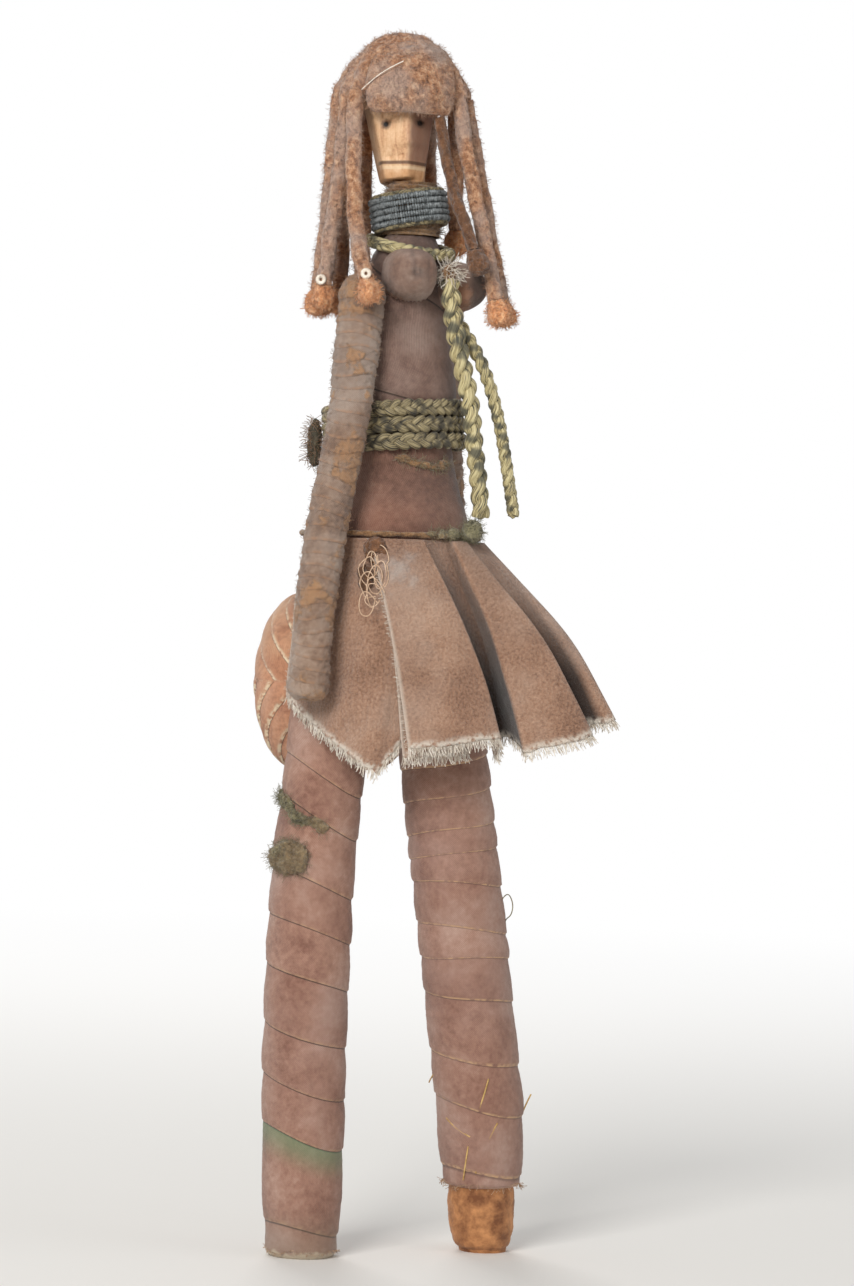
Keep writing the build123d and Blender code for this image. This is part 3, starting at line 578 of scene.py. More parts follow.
def edge_line(points, outs):
    """A row of points along a cloth's edge, each marked with the way its threads run out."""
    mesh = bpy.data.meshes.new("form")
    mesh.from_pydata([tuple(spot) for spot in points], [(i, i + 1) for i in range(len(points) - 1)], [])
    store(mesh, "out", outs, "FLOAT_VECTOR")
    return linked("form", mesh)


def curve(lines, fine=16, closed=False, thick=0.0):
    """Bare or thick NURBS splines through given points, or closed rings of points."""
    data = bpy.data.curves.new("form", "CURVE")
    data.dimensions, data.bevel_depth, data.bevel_resolution, data.use_fill_caps = "3D", thick * MM, 1, bool(thick)
    for points in lines:
        spline = data.splines.new("POLY" if closed else "NURBS")
        spline.points.add(len(points) - 1)
        for point, spot in zip(spline.points, points):
            point.co = (*spot, 1)
        if not closed:
            spline.order_u, spline.use_endpoint_u, spline.resolution_u = 3, True, fine
        spline.use_cyclic_u = closed
    return linked("form", data)


def line_of(source):
    """The points of a bare spline."""
    mesh = plain_mesh(source)
    points = [vertex.co.copy() for vertex in mesh.vertices]
    bpy.data.meshes.remove(mesh)
    return points


# ---- surfaces ---------------------------------------------------------------------------------------
def flow(rows, spots):
    """The rows' values at spots along their first column, through all the rows on smooth curves."""
    rows = np.array(rows, float)
    rows = rows[np.argsort(rows[:, 0], kind="stable")]
    x, y = rows[:, 0], rows[:, 1:]
    slope = np.gradient(y, x, axis=0)
    spots = np.clip(np.asarray(spots, float), x[0], x[-1])
    i = np.clip(np.searchsorted(x, spots, side="right") - 1, 0, len(x) - 2)
    step = (x[i + 1] - x[i])[:, None]
    t = ((spots - x[i]) / step[:, 0])[:, None]
    return ((2 * t**3 - 3 * t**2 + 1) * y[i] + (t**3 - 2 * t**2 + t) * step * slope[i]
            + (3 * t**2 - 2 * t**3) * y[i + 1] + (t**3 - t**2) * step * slope[i + 1])


def woven(points, lay, strip=None, closed=True, poles=(None, None), name="form"):
    """A quad mesh over rows of points, with its UV map, and its strip numbers on corners and points."""
    rows, count = points.shape[:2]
    wide = count if closed else count - 1
    faces, corners = [], []
    for i in range(rows - 1):
        for j in range(wide):
            k = (j + 1) % count
            faces.append((i * count + j, i * count + k, (i + 1) * count + k, (i + 1) * count + j))
            corners += [(i, j), (i, j + 1), (i + 1, j + 1), (i + 1, j)]
    spots = points.reshape(-1, 3)
    for row, pole in zip((0, rows - 1), poles):
        if pole is not None:
            spots = np.vstack([spots, pole])
            tip = len(spots) - 1
            for j in range(wide):
                pair = (row * count + (j + 1) % count, row * count + j)
                faces.append((*(pair if row == 0 else pair[::-1]), tip))
                ends = [(row, j + 1), (row, j)]
                corners += (ends if row == 0 else ends[::-1]) + [(row, j)]
    mesh = bpy.data.meshes.new(name)
    mesh.from_pydata(spots, [], faces)
    where = tuple(np.array(corners).T)
    mesh.uv_layers.new(name="lay").data.foreach_set("uv", lay[where].astype(np.float32).ravel())
    if strip is not None:
        store(mesh, "strip", strip[where], domain="CORNER")
        ends = [strip[row, 0] for row, pole in zip((0, -1), poles) if pole is not None]
        store(mesh, "turns", np.concatenate([strip[:, :count].reshape(-1), ends]))
    return linked(name, mesh)


def shell(rows, poles=(None, None), lay=None, name="form"):
    """A closed form over rings whose last point repeats the first."""
    points = np.array(rows)
    lay = np.zeros((*points.shape[:2], 2)) if lay is None else np.array(lay)
    if poles == "middle":
        poles = [points[i].mean(0) for i in (0, -1)]
    return woven(points[:, :-1], lay, None, True, [None if pole is None else np.array(pole) for pole in poles], name)


def sleeve(rows, strip_at, around, spacing, foot=0.0, top=0.0):
    """A closed sleeve through level rings (height, x, y, radius or two radii), with rounded ends."""
    low, high = rows[0][0], rows[-1][0]
    round_foot = [(low + foot * (1 - sin(a)), foot * (1 - cos(a))) for a in np.linspace(pi / 2, 0, 9)] if foot else []
    round_top = [(high - top * (1 - sin(a)), top * (1 - cos(a))) for a in np.linspace(0, pi / 2, 9)] if top else []
    middle = [(z, 0.0) for z in np.arange(low + foot, high - top, spacing)]
    profile = np.array(round_foot[:-1] + middle + (round_top or [(high, 0.0)]))
    heights, inset = profile[:, 0], profile[:, 1:]
    values = flow(rows, heights)
    turns = np.radians(SEAM_TURN + 360 * np.arange(around + 1) / around)
    wide, deep = values[:, 2:3] - inset, values[:, -1:] - inset
    x = values[:, 0:1] + wide * np.sin(turns)
    y = values[:, 1:2] - deep * np.cos(turns)
    z = np.repeat(heights[:, None], around + 1, 1)
    points = np.stack([AXIS.x + x * MM, AXIS.y + y * MM, z * MM], -1)
    lay = np.stack([np.degrees(turns)[None, :] / 360 * 2 * pi * values[:, 2:3] * MM + 0 * z, z * MM], -1)
    poles = [np.array(place(*values[i, :2], heights[i])) if size else None for i, size in ((0, foot), (-1, top))]
    return woven(points[:, :-1], lay, strip_at(z, turns[None, :], wide), True, poles)


def helix(pitch, wobble=0.05):
    """The number of the turn at each point of a strip wound evenly upwards."""
    def at(z, turns, wide):
        waver = wobble * (np.sin(z * 0.31 + 2 * np.sin(turns)) + np.sin(z * 0.11 + turns * 2))
        return z / pitch + turns / (2 * pi) + waver
    return at


def slanted(seams, lean):
    """Turn numbers of rings whose edges cross the front at the seams' heights; lean is (height, slope)."""
    def at(z, turns, wide):
        slope = np.interp(z, *np.array(lean).T)
        height = z + slope * wide * np.cos(turns - radians(VIEW_RIGHT)) + 0.5 * np.sin(turns * 2 + z * 0.07)
        return np.interp(height, seams, np.arange(len(seams)))
    return at


def crossed(sign):
    """Strips that cross on a pad, mirrored by the sign."""
    def at(z, turns, wide):
        a = (turns - radians(180 + sign * 50) + pi) % (2 * pi) - pi
        return (z - SEAT_HIGH) / 8 + np.where(z > SEAT_HIGH, 1.5, -1.5) * a * sign * -1
    return at


def shaped(piece, levels=0, thick=0.0):
    """Turns a piece's faces outwards, gives a cloth its thickness and subdivides it, for good."""
    mesh = bmesh.new()
    mesh.from_mesh(piece.data)
    bmesh.ops.remove_doubles(mesh, verts=mesh.verts, dist=1e-6)
    bmesh.ops.recalc_face_normals(mesh, faces=mesh.faces)
    mesh.to_mesh(piece.data)
    mesh.free()
    if thick:
        wall = piece.modifiers.new("thick", "SOLIDIFY")
        wall.thickness, wall.offset = thick, 0
    if levels:
        finer = piece.modifiers.new("finer", "SUBSURF")
        finer.levels = finer.render_levels = levels
    data = plain_mesh(piece)
    piece.modifiers.clear()
    piece.data = data
    return piece


def lump(name, middle, half, finish, rough, slot, node=None, turn=0.0):
    """A small matted lump of yarn, turned to lie on what it is stuck to."""
    spin = Matrix.Rotation(radians(turn), 3, "Z")
    wide, deep, tall = half
    rows = [[Vector(middle) + spin @ Vector((wide * cos(b) * cos(a), deep * cos(b) * sin(a), tall * sin(b))) * MM
             for a in np.linspace(0, 2 * pi, 25)] for b in np.linspace(-1.45, 1.45, 17)]
    form = shaped(shell(rows, "middle"), 1)
    return made(name, MAT, form, slot, node, Lump=rough * 1.2, Grain=650.0, Swell=rough, Finish=finish)


def tassel(name, spot, way, seed, finish, node):
    """A blunt tuft of cut wool."""
    side = way.orthogonal().normalized()
    other = way.cross(side)
    angles = 2 * pi * np.arange(29) / 28
    rng = np.random.default_rng(seed)
    lobes = 1 + 0.09 * np.sin(angles * 3 + rng.uniform(0, 6)) + 0.06 * np.sin(angles * 5 + rng.uniform(0, 6))
    rows = []
    for share, reach in np.array(TUFT):
        centre = spot + way * (share * TUFT_LONG * MM)
        rows.append([centre + (side * cos(a) + other * sin(a)) * reach * k * 0.92 * MM for a, k in zip(angles, lobes)])
    form = shaped(shell(rows, [spot, spot + way * (TUFT_LONG * MM)]), 2)
    return made(name, MAT, form, "hair_tuft", node, Lump=0.0007, Grain=900.0, Swell=0.0004, Finish=finish)


def fuzz(name, pieces, slot, finish, density, long, thick, wild, seed, droop=0.0, bend=0.3, body="doll"):
    """Loose fibres over several pieces, as one piece; long and thick in millimetres."""
    merged = bmesh.new()
    for piece in pieces:
        merged.from_mesh(piece.data)
    mesh = bpy.data.meshes.new(name)
    merged.to_mesh(mesh)
    merged.free()
    return made(name, NAP, linked(name, mesh), slot, body=body, Density=density, Length=long * MM, Thick=thick * MM,
                Wild=wild, Seed=seed, Droop=droop, Bend=bend, Finish=finish)


def along_profile(profile, step=None, count=None):
    """A profile's points at even steps along it, with its length."""
    profile = np.array(profile, float)
    run = np.concatenate([[0], np.cumsum(np.hypot(*np.diff(profile, axis=0).T))])
    spots = np.arange(0, run[-1] + step, step) if step else np.linspace(0, run[-1], count)
    return flow(np.column_stack([run, profile]), spots)


def turned(profile, middle, around, step, reach_at):
    """A closed form turned about an upright axis, from its top down; reach_at may dent it."""
    spots = along_profile(profile, step)[::-1]
    turns = SEAM_TURN + 360 * np.arange(around + 1) / around
    rows = [[polar(turn, reach_at(turn % 360, reach, z), z, middle) for turn in turns] for reach, z in spots]
    lay = [[(radians(turn) * reach * MM, i * step * MM) for turn in turns] for i, (reach, z) in enumerate(spots)]
    return shell(rows, [place(*middle, spots[i][1]) for i in (0, -1)], lay)


def pad_along(centre, way, profile, reach_at, around=110):
    """A closed form round a level axis: profile rows are (distance along the axis, radius), in millimetres."""
    side, up = Vector((way.y, -way.x, 0)) * -1, Vector((0, 0, 1))
    spots = along_profile(profile, count=64)
    angles = 2 * pi * np.arange(around + 1) / around
    rows, lay, folds = [], [], []
    for out, radius in spots:
        row = []
        for a in angles:
            x, z, lift = reach_at(radius * cos(a), radius * sin(a), out)
            row.append(centre + (way * (out + lift) + side * x + up * z) * MM)
            if len(row) <= around:
                folds.append(-lift)
        rows.append(row)
        lay.append([(a * 6 * MM, out * MM) for a in angles])
    form = shell(rows, [centre + way * (spots[i][0] * MM) for i in (0, -1)], lay)
    # the folds' depth, which the breast finish darkens as painted shade
    store(form.data, "fold", [*folds, 0, 0])
    return shaped(form)


def skirt_part(name, panel, hem_at, columns, seed, rows=64, foot_wave=0.35):
    """A gathered cloth as a sheet of quads; returns it, its points, its flat size and area."""
    panel = np.array(panel, float)
    values = flow(np.column_stack([np.arange(len(panel)), panel]), np.linspace(0, len(panel) - 1, columns))
    tall = SKIRT_TOP - SKIRT_FOOT
    belly = [(0, 0), ((SKIRT_TOP - SKIRT_MIDDLE) / tall, SKIRT_BELLY), (1, 1)]
    phase = np.random.default_rng(seed).uniform(0, 6, 8)

    def spot(value, z):
        share = float(flow(belly, [(SKIRT_TOP - z) / tall])[0, 0])
        turn, reach = value[0] + share * (value[2] - value[0]), value[1] + share * (value[3] - value[1])
        return reach * sin(radians(turn)), -reach * cos(radians(turn))

    grid = np.zeros((rows, columns, 3))
    for j, value in enumerate(values):
        foot = 128.0
        for _ in range(4):
            foot = hem_at(*spot(value, foot))
        k = j / columns
        foot += foot_wave * (sin(k * 61 + phase[0]) + 0.6 * sin(k * 149 + phase[1])) * 0.5
        for i in range(rows):
            v = i / (rows - 1)
            z = SKIRT_TOP + (foot - SKIRT_TOP) * i / (rows - 1)
            x, y = spot(value, z)
            lift = 0.3 * sin(k * 17 + v * 5 + phase[2]) * sin(v * 7 + k * 9 + phase[3])
            grid[i, j] = place(x, y, z)
            grid[i, j, :2] += np.array([x, y]) / np.hypot(x, y) * lift * MM
    across = np.linalg.norm(np.diff(grid, axis=1), axis=2)
    down = np.linalg.norm(np.diff(grid, axis=0), axis=2)
    width = np.concatenate([[0], np.cumsum(across.max(axis=0))])
    drop = np.vstack([np.zeros(columns), np.cumsum(down, axis=0)])
    piece = woven(grid, np.stack([np.repeat(width[None, :], rows, 0), drop], -1), None, False, name=name)
    sides = np.minimum(width, width[-1] - width)
    turn, foot = values[:, 2], values[:, 3]
    # deep: how far a column's hem lies inside its neighbours', more so down the cloth; it carries the painted shadow of
    # the pleat recess
    near = np.abs(turn[:, None] - turn[None, :]) < 0.9
    cover = np.where(near, foot[None, :], 0).max(axis=1) - foot
    deep = np.clip((cover - 2) / 3, 0, 1)[None, :] * np.linspace(0.15, 1.3, rows).clip(0, 1)[:, None]
    store(piece.data, "hem", drop[-1][None, :] - drop)
    store(piece.data, "selvedge", np.repeat(sides[None, :], rows, 0))
    store(piece.data, "deep", deep)
    area = float((across[:-1] * down[:, :-1]).sum())     # the cloth is cut narrower at the waist
    return piece, grid, (float(width[-1]), float(drop[-1].mean())), area


def outward(ways):
    return ways / np.linalg.norm(ways, axis=1)[:, None]


def ring_bead(name, spot, turn, reach=0.85, wide=0.5):
    """A small ring bead that faces away from the axis."""
    out, side, rows = facing(turn), facing(turn + 90), []
    for a in np.linspace(0, 2 * pi, 33):
        way = side * cos(a) + Vector((0, 0, sin(a)))
        rows.append([spot + (way * (reach + wide * cos(b)) + out * wide * 0.8 * sin(b)) * MM
                     for b in np.linspace(0, 2 * pi, 17)])
    return smooth(shaped(shell(rows, name=name)))


def ring(reach, height=0, matrix=Matrix()):
    """A closed ring about the origin, or where a matrix puts it."""
    spots = [matrix @ Vector((reach * cos(a) * MM, reach * sin(a) * MM, height * MM))
             for a in np.linspace(0, 2 * pi, 120, endpoint=False)]
    return curve([spots], closed=True)


def tilted(middle, z, turn, degrees):
    """A frame whose rings lie level but for a lean that rises towards a turn."""
    about = Matrix.Rotation(radians(turn - 90), 4, "Z")
    lean = Matrix.Rotation(radians(-degrees), 4, "Y")
    return Matrix.Translation(place(*middle, z)) @ about @ lean @ about.inverted()


def on_limb(rows, turn, z, lift=0.3):
    """A point on a limb's surface, or that far off it."""
    x, y, radius = flow(rows, [z])[0][:3]
    return polar(turn, radius + lift, z, (x, y))


def threads(name, lines, thick, finish, slot):
    """Fine loose threads along given points."""
    source = curve(lines, 8, thick=thick)
    piece = linked(name, plain_mesh(source))
    bpy.data.objects.remove(source)
    finish.put_on(piece)
    return told(piece, slot)


# ---- finishes ------------------------------------------------------------------------------------------
def cloth(name, dark, mid, light, thread=0.5, ribs=0.5, sheen=0.25, rough=0.78, grain=70, seam=None, edge=None,
          dust=None, crust=None, line=0.85, more=None):
    """Worn cloth: diagonal ribs at thread pitch, mottled colour, and seams, dust and crust where given."""
    f = Finish(name, rough, sheen, 0.35)
    along, across, _ = f.split(f.lay())
    body = f.body()
    pitch = 2 * pi / (thread * MM)
    rib = ((along + across) * pitch).math("SINE") * 0.5 + 0.5
    cross = ((along - across * 1.6) * (pitch * 1.9)).math("SINE") * 0.5 + 0.5
    broad, fine = f.noise(body, grain, 2, 0.55), f.noise(body, grain * 9, 3, 0.65)
    shade = f.ramp(broad * 0.55 + fine * 0.45, (0.32, dark), (0.5, mid), (0.68, light))
    shade = f.mix(ribs * 0.55 * (1 - rib), shade, dark)
    heights = [(fine, 0.00012 * 1.5), (rib * 0.8 + cross * 0.2, 0.00012)]
    if dust:
        high = f.noise(body, grain * 0.5, 3, 0.6)
        shade = f.mix(high.between(0.42, 0.72) * dust[1], shade, dust[0])
    if crust:
        spots = f.noise(body, 420, 4, 0.7) * f.noise(body, 110, 2).between(0.38, 0.7)
        clot = spots.between(0.27, 0.45) * crust[1]
        shade = f.mix(clot, shade, crust[0])
        heights.append((clot * fine, 0.0006))
    if seam:
        strip = f.mark("strip")
        part = strip.math("FRACT")
        each = f.node("TexWhiteNoise", noise_dimensions="1D", W=strip.math("FLOOR"))
        shade = f.mix((each - 0.5).math("ABSOLUTE") * 0.5, shade, dark)
        if edge:
            fringe = part.between(edge[2], edge[2] * 0.15) * f.noise(body, 700, 2).between(0.35, 0.6)
            shade = f.mix(fringe * edge[1], shade, edge[0])
        gap = part.between(0.985 - seam, 0.995) + part.between(0.5 * seam, 0.0)
        shade = f.mix(gap.math("MINIMUM", 1) * line, shade, (42, 28, 22))
    return f.feed(more(f, shade) if more else shade, *heights)


def floor_dust(f, shade):
    """Pale dust on the legs' lower ends."""
    high = f.split(f.body())[2] + (f.noise(f.body(), 300, 3, 0.6) - 0.5) * 0.006
    shade = f.mix(high.between(0.014, 0.002) * 0.45, shade, (132, 116, 98))
    return f.mix(high.between(0.0022, 0.0004) * 0.8, shade, (206, 192, 168))


def green_dye(f, shade):
    """The dust, and dye along one edge of the near leg's cloth."""
    shade, strip = floor_dust(f, shade), f.mark("strip")
    dye = strip.between(1.6, 1.97) * strip.between(2.0, 1.985)
    return f.mix(dye * 0.6, shade, (96, 134, 98))


def painted_breast_shade(f, shade):
    """Painted shade in the folds, and a painted shadow on the end of the doll's left breast, which faces away from the
    light.
    """
    out = f.vector("DOT_PRODUCT", f.vector("SUBTRACT", f.body(), tuple(AXIS)), tuple(facing(LEFT_BREAST)), out="Value")
    out = out + (f.noise(f.body(), 300, 2) - 0.5) * 0.0012
    # painted shadow on the left breast's end
    shade = f.mix(out.between(0.0172, 0.0192) * 0.75, shade, (54, 38, 32))
    # painted shade in the folds
    return f.mix(f.mark("fold").between(0.05, 0.5) * 0.3, shade, (70, 50, 42))


def skirt_finish():
    f = Finish("skirt_cloth", 0.85, 0.35, 0.25)
    body = f.body()
    along, across, _ = f.split(f.lay())
    pitch = 2 * pi / 0.00042
    weave = (along * pitch).math("SINE") * (across * pitch).math("SINE") * 0.5 + 0.5
    broad, fine, worn = f.noise(body, 60, 2, 0.55), f.noise(body, 1500, 2, 0.6), f.noise(body, 36, 3, 0.6)
    shade = f.ramp(broad * 0.5 + fine * 0.5, (0.34, (122, 88, 68)), (0.5, (162, 124, 100)), (0.68, (190, 154, 130)))
    shade = f.mix(worn.between(0.5, 0.7) * 0.4, shade, (186, 162, 146))
    pale = f.vector("DISTANCE", body, tuple(polar(-35, 24.4, 167.6)), out="Value")
    pale = pale + (f.noise(body, 170, 3, 0.65) - 0.5) * 0.016
    shade = f.mix(pale.between(0.0062, -0.001) * 0.55, shade, (198, 190, 184))
    # painted shadow in the pleat recess
    shade = f.mix(f.mark("deep") * 0.93, shade, (34, 24, 20))
    frayed = f.mark("hem").between(0.0024, 0.0002) * f.noise(body, 900, 2).between(0.3, 0.6)
    frayed = frayed.math("MAXIMUM", f.mark("selvedge").between(0.0014, 0.0) * 0.6)
    shade = f.mix(frayed * 0.85, shade, (232, 222, 208))
    return f.feed(shade, (weave, 0.00014), (fine, 0.0003), (broad, 0.0012))


def felt(name, dark, mid, light, dust, grain, much=0.45):
    """Matted wool: a mottled tone that is partly painted shade between its clumps and painted light on them, with dust
    in patches.
    """
    f = Finish(name, 0.95, 0.35, 0.15)
    body = f.body()
    clump, fine = f.noise(body, grain * 0.45, 3, 0.6), f.noise(body, grain * 2, 3, 0.7)
    patch = f.noise(body, 90, 2, 0.6)
    # darker where the clump bumps dip and paler where they rise: painted shade and light over the wool's mottling
    shade = f.ramp(clump * 0.6 + fine * 0.4, (0.34, dark), (0.5, mid), (0.66, light))
    shade = f.mix(patch.between(0.4, 0.66) * much, shade, dust)
    return f.feed(shade, (clump, 0.0008), (fine, 0.0003))


def straw(name, pale, mid, dark):
    """Plaited strands: pale glossy straw with dark streaks, and painted shade where a strand dips under another."""
    f = Finish(name, 0.5, 0.1, 0.4)
    girth = f.split(f.mark("girth", "Vector"))
    along = f.mark("along")
    streak = f.noise(f.joined(girth[0] * 2.2, girth[1] * 2.2, along * 150 + f.mark("strand") * 7), 1.6, 3, 0.7)
    shade = f.ramp(streak, (0.38, dark), (0.45, mid), (0.57, pale), (0.8, pale))
    blotch = f.noise(f.body(), 420, 2, 0.6)
    # painted shade where a strand dips under the next
    under = (f.mark("over") + blotch * 0.5).between(0.62, 0.22)
    shade = f.mix(under * 0.85, shade, dark)
    return f.feed(shade, (streak, 0.0003), roughness=0.42 + under * 0.35)


def plain(name, dark, light, grain, rough=0.7, deep=0.0002, specular=0.3):
    """A mottled natural surface."""
    f = Finish(name, rough, 0.1, specular)
    broad = f.noise(f.body(), grain, 4, 0.65)
    return f.feed(f.ramp(broad, (0.35, dark), (0.65, light)), (broad, deep))


def wood():
    """Pale carved wood: upright grain, painted shade on the cheek that faces away from the light, dark in the eyes and
    the mouth.
    """
    f = Finish("carved_wood", 0.5, 0.0, 0.4)
    spot = f.vector("SUBTRACT", f.body(), tuple(AXIS))
    grain = f.noise(f.vector("MULTIPLY", spot, (1, 1, 0.1)), 700, 3, 0.6, 0.4)
    broad, fine = f.noise(spot, 110, 2, 0.6), f.noise(spot, 1400, 3, 0.7)
    side = f.vector("DOT_PRODUCT", spot, VIEW_SIDE, out="Value")
    high = f.split(f.body())[2]
    shade = f.ramp(grain * 0.4 + fine * 0.25 + broad * 0.35, (0.34, (168, 116, 84)), (0.48, (216, 174, 134)),
                   (0.66, (238, 206, 170)))
    # painted shade on the viewer's right cheek, above the mouth
    cheek = (side + (broad - 0.5) * 0.006).between(-0.0004, 0.0026)
    cheek = cheek * (high + (fine - 0.5) * 0.003).between(0.2655, 0.2685)
    chin = (high + (broad - 0.5) * 0.004).between(0.2662, 0.2648)
    lip = (high - LIP).math("ABSOLUTE").between(0.0006, 0.0002) * side.math("ABSOLUTE").between(0.0058, 0.0048)
    slit = (high - SLIT).math("ABSOLUTE").between(0.0006, 0.0002) * side.math("ABSOLUTE").between(0.0066, 0.0056)
    for share, shade_of in ((cheek * 0.85, (132, 94, 80)), (chin * 0.5, (198, 140, 88)), (lip * 0.6, (232, 208, 172)),
                            (slit * 0.8, (70, 46, 36))):
        shade = f.mix(share, shade, shade_of)
    for across, up in EYES:
        flat = f.joined(side - across, high - up, 0)
        away = f.vector("LENGTH", flat, out="Value") + (fine - 0.5) * 0.0005
        shade = f.mix(away.between(0.0016, 0.0008) * 0.8, shade, (112, 88, 72))
        shade = f.mix(away.between(0.0009, 0.0004), shade, (30, 22, 20))
    return f.feed(shade, (grain, 0.0002), (fine, 0.00015))


NAP, FRAY, PLAIT, CORD, WIND, MAT, BEADS = (
    tree() for tree in (napping, fraying, plaiting, cording, winding, matting, beading))

# shaded_hair is a darker matted wool: dark wool for the thread tangles, and painted shade for the lock and tuft in
# shadow behind the cheek
WOOL, DARK_AND_SHADED_WOOL, TUFT_WOOL, GREEN, FIBRE = (felt(*row) for row in (
    ("matted_hair", (98, 62, 40), (178, 128, 94), (222, 184, 150), (174, 158, 150), 1500, 0.55),
    ("shaded_hair", (58, 36, 24), (112, 76, 52), (146, 104, 74), (96, 74, 58), 1500, 0.4),
    ("bright_tuft", (176, 104, 62), (230, 162, 112), (250, 212, 168), (238, 184, 140), 1900, 0.3),
    ("green_yarn", (70, 66, 46), (132, 126, 96), (168, 160, 128), (146, 112, 84), 1300, 0.5),
    ("neck_fibre", (76, 54, 38), (140, 104, 72), (176, 140, 100), (128, 108, 82), 1200),
))
STRAW, OLIVE = (straw(*row) for row in (
    ("straw_plait", (208, 196, 150), (166, 150, 106), (66, 68, 62)),
    ("olive_plait", (166, 152, 116), (112, 100, 72), (44, 42, 38)),
))
WHITE_THREAD, TAN_THREAD, LOOP_THREAD, RAG, CORE_WOOD, WHITE_BEAD, DARK_BEAD, DRY_STRAW = (plain(*row) for row in (
    ("pale_thread", (206, 192, 174), (244, 238, 228), 700, 0.9),
    ("tan_thread", (140, 108, 84), (204, 172, 142), 700, 0.9),
    ("loop_thread", (186, 152, 124), (226, 198, 170), 700, 0.9),
    ("core_rag", (116, 72, 44), (196, 138, 90), 200, 0.8, 0.0005),
    ("core_wood", (110, 76, 52), (160, 120, 84), 300, 0.7),
    ("white_bead", (200, 186, 168), (238, 230, 216), 900, 0.35, 0.00005, 0.5),
    ("dark_bead", (44, 48, 50), (136, 142, 144), 900, 0.4, 0.00005, 0.5),
    ("dry_straw", (168, 130, 72), (214, 180, 116), 800, 0.6),
))
NEAR_LEG, FAR_LEG = (
    cloth(name, (128, 88, 73), (172, 131, 112), (200, 166, 148), seam=0.014, thread=0.52, rough=0.5,
          edge=((212, 172, 132), edge, 0.07), dust=((176, 150, 142), 0.4), sheen=0.15, line=line, more=more)
    for name, edge, line, more in (("near_leg_cloth", 0.35, 0.85, green_dye), ("far_leg_cloth", 0.9, 0.45, floor_dust)))
ARM = cloth("arm_cloth", (98, 74, 60), (148, 120, 100), (180, 156, 137), seam=0.04, ribs=0.25, rough=0.65, line=0.3,
            edge=((172, 128, 94), 0.5, 0.3), dust=((172, 158, 148), 0.6), crust=((176, 134, 96), 0.9))
TRUNK = cloth("trunk_cloth", (80, 56, 47), (122, 92, 79), (156, 128, 114), seam=0.008, thread=0.42, sheen=0.2,
              edge=((150, 130, 112), 0.25, 0.02), dust=((150, 132, 124), 0.4), rough=0.48)
HIP_CLOTH = cloth("hip_cloth", (92, 62, 50), (136, 100, 84), (166, 132, 116), ribs=0.7, dust=((166, 108, 82), 0.4),
                  sheen=0.2, rough=0.5)
PAD = cloth("breast_cloth", (94, 66, 52), (142, 108, 90), (176, 148, 130), thread=0.42, ribs=0.3, sheen=0.2,
            dust=((176, 160, 150), 0.45), crust=((164, 112, 76), 0.5), rough=0.55, more=painted_breast_shade)
SEAT = cloth("seat_cloth", (150, 98, 72), (200, 144, 110), (218, 168, 134), ribs=0.25, grain=110, seam=0.02,
             edge=((238, 220, 188), 0.95, 0.24), dust=((226, 200, 166), 0.35), line=0.7)
SKIRT = skirt_finish()


# ---- the doll's parts ------------------------------------------------------------------------------
def head():
    """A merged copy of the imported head, with its edges worn round."""
    copy = linked("carved_head", NODES["head"].data.copy())
    copy.data.transform(NODES["head"].matrix_world)
    copy.data.materials.clear()
    mesh = bmesh.new()
    mesh.from_mesh(copy.data)
    bmesh.ops.remove_doubles(mesh, verts=mesh.verts, dist=1e-6)
    mesh.to_mesh(copy.data)
    mesh.free()
    copy.modifiers.new("even", "REMESH").voxel_size = 0.0003
    soft = copy.modifiers.new("soft", "SMOOTH")
    soft.factor, soft.iterations = 0.5, 36
    smooth(shaped(copy))
    wood().put_on(copy)
    told(copy, "face_wood", "head")


def hanging(wide):
    """Reckons a cord's width in metres and does nothing else with it."""
    wide * MM


def strands(turn, reach, z):
    """The cap's edge comes out into the locks and stays back between them and under the fringe."""
    locks = [route[0][0] for number, route in enumerate(LOCKS, 1) if number != SHADED_LOCK]
    front = np.clip(1 - abs((turn - 330 + 180) % 360 - 180) / 54, 0, 1) ** 0.35
    near = max(np.exp(-((((turn - lock) + 180) % 360 - 180) / 8) ** 2) for lock in locks)
    low, mid = np.clip((293 - z) / 7, 0, 1), np.clip((297 - z) / 6, 0, 1)
    cut = max(3.2 * front * low, 2.4 * (1 - near) * low + 0.5 * (1 - near) * mid)
    return max(reach - cut * min(reach / 12, 1), 0.2)


